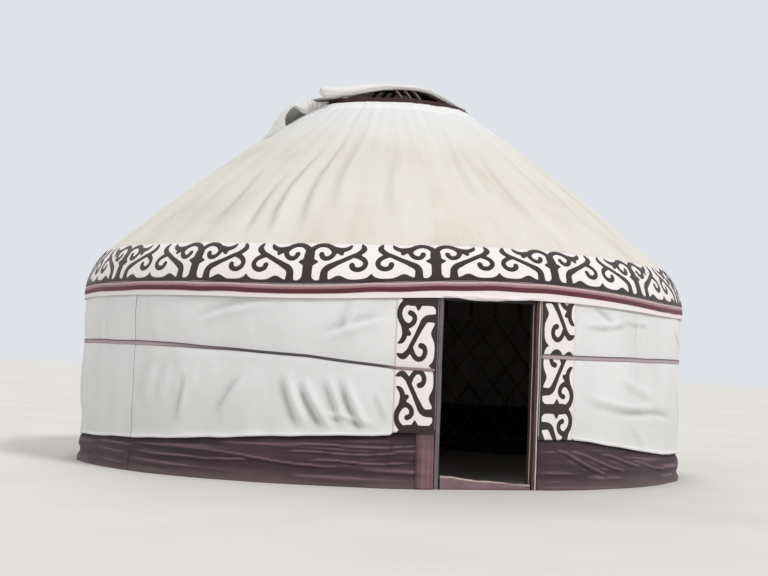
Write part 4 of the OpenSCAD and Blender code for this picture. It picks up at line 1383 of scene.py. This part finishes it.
# how far the rows lie inside the edges of the band and the strips, above their felt, and
# from the middle of a seam in degrees at the eave
BAND_INSET, STRIP_INSET, RISE, SEAM_A = 0.006, 0.007, 0.0008, 0.42
around = np.arange(0, 360.1, 0.75)
band_rows = [on_roof(s, around, BAND_T + RISE) for s in (BAND_LOW + BAND_INSET,
                                                         BAND_HIGH - BAND_INSET)]
up = np.linspace(0.50, COVER_TOP - 0.06, 60)
seam_rows = [on_roof(up, m + side * SEAM_A / narrowing(up), 0.0012)
             for m in SEAMS for side in (-1, 1)]
strip_rows = [on_strip(side, v, np.linspace(foot + 0.01, EAVE_Z - 0.03, 50), RISE)
              for side, foot in zip((-1, 1), STRIP_FOOT.values())
              for v in (STRIP_INSET, STRIP_W - STRIP_INSET)]
for name, rows, slot, spacing in (
        ("ornament_band_stitches", band_rows, "ornament_felt", 0.030),
        ("roof_seam_stitches", seam_rows, "roof_canvas", 0.036),
        ("door_strip_stitches", strip_rows, "ornament_felt", 0.026)):
    bake_tree(name, rows, sewing, {"Spacing": spacing, "Material": thread})

# %% [markdown]
# The crown ring and its two sets of bent bars keep their CAD shape and get the same brush
# painted red wood, a little darker from smoke.

# %% Crown wood
crown_paint = wood_material("smoked_red_oil_paint", [(0.3, "#2b1213"), (0.7, "#47201f")], 0.008)
for name in ("crown_ring", "crown_bars"):
    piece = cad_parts[name]
    if not piece.material_slots:
        piece.data.materials.append(crown_paint)
    for slot in piece.material_slots:
        slot.material = crown_paint
    print("crown wood on", piece.name)

# %% [markdown]
# A loose cloth lies over the back and the middle of the crown, so that smoke leaves in
# front of it. It follows the domed bars, drops over the ring and rests on the roof. Its
# grid is straight along the front edge and round at the back. It has wrinkles that grow
# towards its edge.

# %% What the crown cloth lies on, and its wrinkles
DOME_R, DOME_C = 1.195, 2.670
RING_TOP = 3.644
# the roof cover's height at the crown ring, with a little air under the cloth
COVER_Z = 3.640


def angle_of(x, y):
    """The angle from the doorway of a place, in degrees."""
    return np.degrees(np.arctan2(x, -y))


def roof_height(r):
    """Height of the straight part of the roof cover at distance r."""
    return COVER_Z - (r - CROWN_R) * tan(ROOF_SLOPE)


def crown_top(x, y):
    """What the crown cloth lies on, its sharp steps bridged as slack cloth does."""
    r = np.hypot(x, y)
    dome = DOME_C + np.sqrt(np.maximum(DOME_R ** 2 - r ** 2, 0.01))
    # past its two edges the ring falls away, steeply outside and gently inside
    ring = RING_TOP + 0.006 - 30 * np.maximum(r - 0.765, 0) ** 1.2 - 3 * np.maximum(0.60 - r, 0)
    roof = np.where(r > 0.74, roof_height(r), roof_height(0.74) - 3 * (0.74 - r))
    # a soft maximum of the three: the smaller its softness, the sharper its steps
    soft, level = 0.012, 3.5
    stack = np.stack([dome, ring, roof])
    return soft * np.log(np.exp((stack - level) / soft).sum(axis=0)) + level


def cloth_folds(x, y):
    """Wrinkles of the crown cloth: small on the dome, deep at its edge, most on the left."""
    r, a = np.hypot(x, y), angle_of(x, y) % 360
    off = from_door(a + 78)
    edge = smooth((r - 0.50) / 0.38) * (1 - 0.75 * smooth((40 - off) / 20))
    left = ridge(signed(a - 256), 38)
    pleat = round_noise(a, 7.5, r * 2.2, 61)
    bars = 0.004 * (np.cos(x * 2 * pi / 0.095) + np.cos(y * 2 * pi / 0.095))
    slow = 0.007 * soft_noise(x * 4 + 20, y * 4 + 20, 62)
    # on the left in front the cloth runs level off the ring instead of down the roof
    corner = 0.80 * np.maximum(r - CROWN_R, 0) * (1 - smooth((off - 14) / 28))
    return (bars * (1 - smooth((r - 0.1) / 0.3)) + slow
            + edge * (0.012 + 0.022 * left) * (pleat + 0.45) + 0.020 * left * edge + corner)


print("the crown's top is at", round(float(crown_top(0.0, 0.0)), 3), "m")

# %% [markdown]
# The cloth's grid is laid over those heights, and its outside is the same grid moved along
# its own normals by the cloth's thickness, which halves at the edge.

# %% Crown cloth
# canvas sewn over felt, bleached by the sun: matt, almost white, thick enough to keep light out
CROWN_TONES = [(0.3, "#d8d5d0"), (0.52, "#e9e6e2"), (0.72, "#f2f0ed")]
crown_canvas = cloth_material("bleached_canvas_over_felt", CROWN_TONES, patch=2.0, streak=3.0,
                              relief=0.004, through=0.1)
CLOTH_R, CLOTH_FRONT, CLOTH_T = 0.90, 0.37, 0.008


def grid_normals(grid):
    """The direction that each place of a grid faces."""
    normals = np.cross(np.gradient(grid, axis=1), np.gradient(grid, axis=0))
    return normals / np.linalg.norm(normals, axis=-1, keepdims=True)


B, A = grid_of(np.linspace(-CLOTH_FRONT / CLOTH_R, 1, 76), np.linspace(-1, 1, 91))
half = np.maximum(B, 0)
X = A * np.where(B < 0, np.sqrt(1 - B ** 2), np.sqrt(1 - half ** 2 / 2)) * CLOTH_R
Y = np.where(B < 0, B, half * np.sqrt(1 - A ** 2 / 2)) * CLOTH_R
wave = 1 + 0.02 * round_noise(angle_of(X, Y), 14.4, 0, 63) * smooth((np.hypot(X, Y) - 0.7) / 0.2)
X, Y = X * wave, Y * wave
under = np.stack([X, Y, crown_top(X, Y) + cloth_folds(X, Y)], axis=-1)
thick = CLOTH_T * (0.5 + 0.5 * smooth((1 - np.abs(A)) / 0.05) * smooth((1 - B) / 0.05))
build_sheet("crown_cloth", under + grid_normals(under) * thick[..., None], under, [crown_canvas],
            "crown_canvas", "laid", ["crown_bars", "crown_ring", "roof_cover_canvas"],
            "crown_cover")

# %% [markdown]
# The front edge of that cloth is rolled up on itself. The roll is thick and stiff at the
# left, where it juts out level past the ring, and thin at the right, where it bends down
# over the bars. It is lofted from sections along the edge, with its underside and its
# thickness given at a few places.

# %% Rolled front edge
ROLL_X = [-.865, -.845, -.80, -.75, -.67, -.545, -.374, -.2, 0, .15, .29, .457, .6, .68]
ROLL_LOW = [3.668, 3.650, 3.643, 3.643, 3.650, 3.676, 3.728, 3.768, 3.788, 3.790, 3.772, 3.706,
            3.645, 3.632]
ROLL_THICK = [.074, .108, .122, .126, .124, .112, .090, .072, .060, .058, .054, .048, .036, .025]


def dented_ring(sides, t, deep, fast):
    """The angles round a soft roll, and how thick it is there, at share t of its length.
    Two waves round it, so deep and turning so fast along it, keep it from being round."""
    turn = 2 * pi * np.arange(sides) / sides
    return turn, (1 + deep[0] * np.cos(2 * turn + fast[0] * t)
                  + deep[1] * np.sin(3 * turn + fast[1] * t))


sections = []
for t in np.linspace(0, 1, 100):
    x = ROLL_X[0] + (ROLL_X[-1] - ROLL_X[0]) * t
    size = np.interp(x, ROLL_X, ROLL_THICK) / 2 * (1 + 0.06 * soft_noise(t * 9, 0.5, 64))
    y = -CLOTH_FRONT - 0.010 - size * 0.35 + 0.008 * soft_noise(t * 5, 0.5, 65)
    z = np.interp(x, ROLL_X, ROLL_LOW) + size * 0.94
    turn, dents = dented_ring(30, t, (0.06, 0.04), (5, 14))
    # the free edge of the cloth lies along the front of the roll
    out = size * (dents + 0.16 * ridge(turn - 5.6 + 0.5 * t, 0.22))
    sections.append(np.stack([0 * turn + x, y - out * np.cos(turn), z + out * np.sin(turn) * 0.94],
                             axis=-1))
roll = loft("crown_cloth_front_roll", sections, crown_canvas,
            uv=(0.0156, 0.008, 0.0))

# %% [markdown]
# From the left end of the roll the slack of the cloth hangs down the roof and stands up as
# a hood that is open towards the doorway. Two curves are drawn as they are seen from the
# front: the edge of the opening and the arch above it. Both are given by their distance
# down the roof and their height above it. Copies of the arch, turned round the tent and
# flatter each time, carry the hood to the back, and a smooth surface runs through them all.

# %% Slack hood on the left
# the canvas alone, without its felt: the same colour, but daylight glows through it
thin_canvas = cloth_material("thin_bleached_canvas", CROWN_TONES, patch=2.0, streak=3.0,
                             relief=0.004, through=0.5)
HOOD_FROM, HOOD_ALONG = np.array([-0.80, -0.25]), np.array([-0.966, 0.2587])
HOOD_EDGE = [(-.050, .004), (.011, .005), (.055, .005), (.090, .005), (.120, .006), (.143, .010),
             (.186, .041), (.248, .124), (.298, .165), (.341, .148), (.366, .103), (.362, .040),
             (.345, .008), (.300, .006)]
HOOD_ARCH = [(-.060, .012), (.014, .055), (.060, .088), (.110, .113), (.160, .140), (.205, .165),
             (.240, .180), (.268, .190), (.295, .197), (.361, .179), (.429, .126), (.473, .066),
             (.539, .029), (.590, .009)]
# share from the edge to the arch, degrees to the back, height left and width left
HOOD_ROWS = [(0, 0, 1, 1), (0.5, -1.4, 1, 1), (1, 1.5, 1, 1), (1, 4.5, .98, 1),
             (1, 9, .80, .99), (1, 14, .54, .97), (1, 20, .28, .94), (1, 28, .07, .88)]
HOOD_R, HOOD_T = 0.79, 0.007

edge, arch = np.array(HOOD_EDGE), np.array(HOOD_ARCH)
grid = []
for share, back, height, width in HOOD_ROWS:
    down, above = (edge + (arch - edge) * share).T
    x, y = (HOOD_FROM + HOOD_ALONG * down[:, None]).T
    r = HOOD_R + (np.hypot(x, y) - HOOD_R) * width
    roof = roof_height(r) - 0.010 + 0.026 * np.sin(pi * np.clip((r - CROWN_R) / 2.0, 0, 1))
    grid.append(at(r, angle_of(x, y) - back, roof + above * height + 0.004 * share))
columns = np.stack([curve_through(row, 6) for row in grid])
middle = curve_through(columns.reshape(len(columns), -1), 8).reshape(-1, columns.shape[1], 3)
R, C = grid_of(np.linspace(0, len(HOOD_ROWS) - 1, len(middle)),
               np.linspace(0, len(HOOD_EDGE) - 1, middle.shape[1]))
# hanging pleats below the roll's end, and slow waves over the rest
hanging = smooth((5.2 - C) / 1.5) * smooth(C / 0.6) * ridge(R - 1, 0.8)
pleats = 0.011 * np.sin(2 * pi * C / 1.15 + 0.9 * R) * hanging
calm = smooth((R - 1.2) / 1.0) * smooth((7.2 - R) / 1.5) * smooth(C / 1.5)
middle = middle + np.stack([-0.31 * pleats, -0.951 * pleats,
                            0.008 * soft_noise(C / 1.3, R / 1.1, 67) * calm], axis=-1)
# taken from the back to the front, the rows have their outside facing out
middle = middle[::-1]
off = grid_normals(middle) * HOOD_T / 2
build_sheet("crown_cloth_slack_hood", middle + off, middle - off, [thin_canvas], "crown_canvas",
            "folded", ["roof_cover_canvas", "crown_cloth"], "crown_cover_fold")

# %% [markdown]
# Over the doorway the hem of the roof cover is gathered into a soft roll that sags a
# little. It is lofted the same way as the roll on the crown.

# %% Gathered hem over the door
sections = []
for t in np.linspace(0, 1, 70):
    a = -8.6 + 17.6 * t
    size = 0.004 + 0.013 * sin(pi * t) ** 0.5 * (1 + 0.35 * soft_noise(t * 8, 0.5, 66))
    z = 1.615 + 0.85 * eave_lift(a) - 0.016 * sin(pi * t) + 0.004 * sin(9 * t)
    turn, dents = dented_ring(16, t, (0.18, 0.10), (11, 23))
    sections.append(at(HEM_R - 0.002 + size * 0.5 + size * dents * np.cos(turn), a,
                       z + size * 1.15 * dents * np.sin(turn)))
hem_roll = loft("door_hem_gathered", sections, roof_canvas,
                uv=(0.0134, 0.002, 0.010))
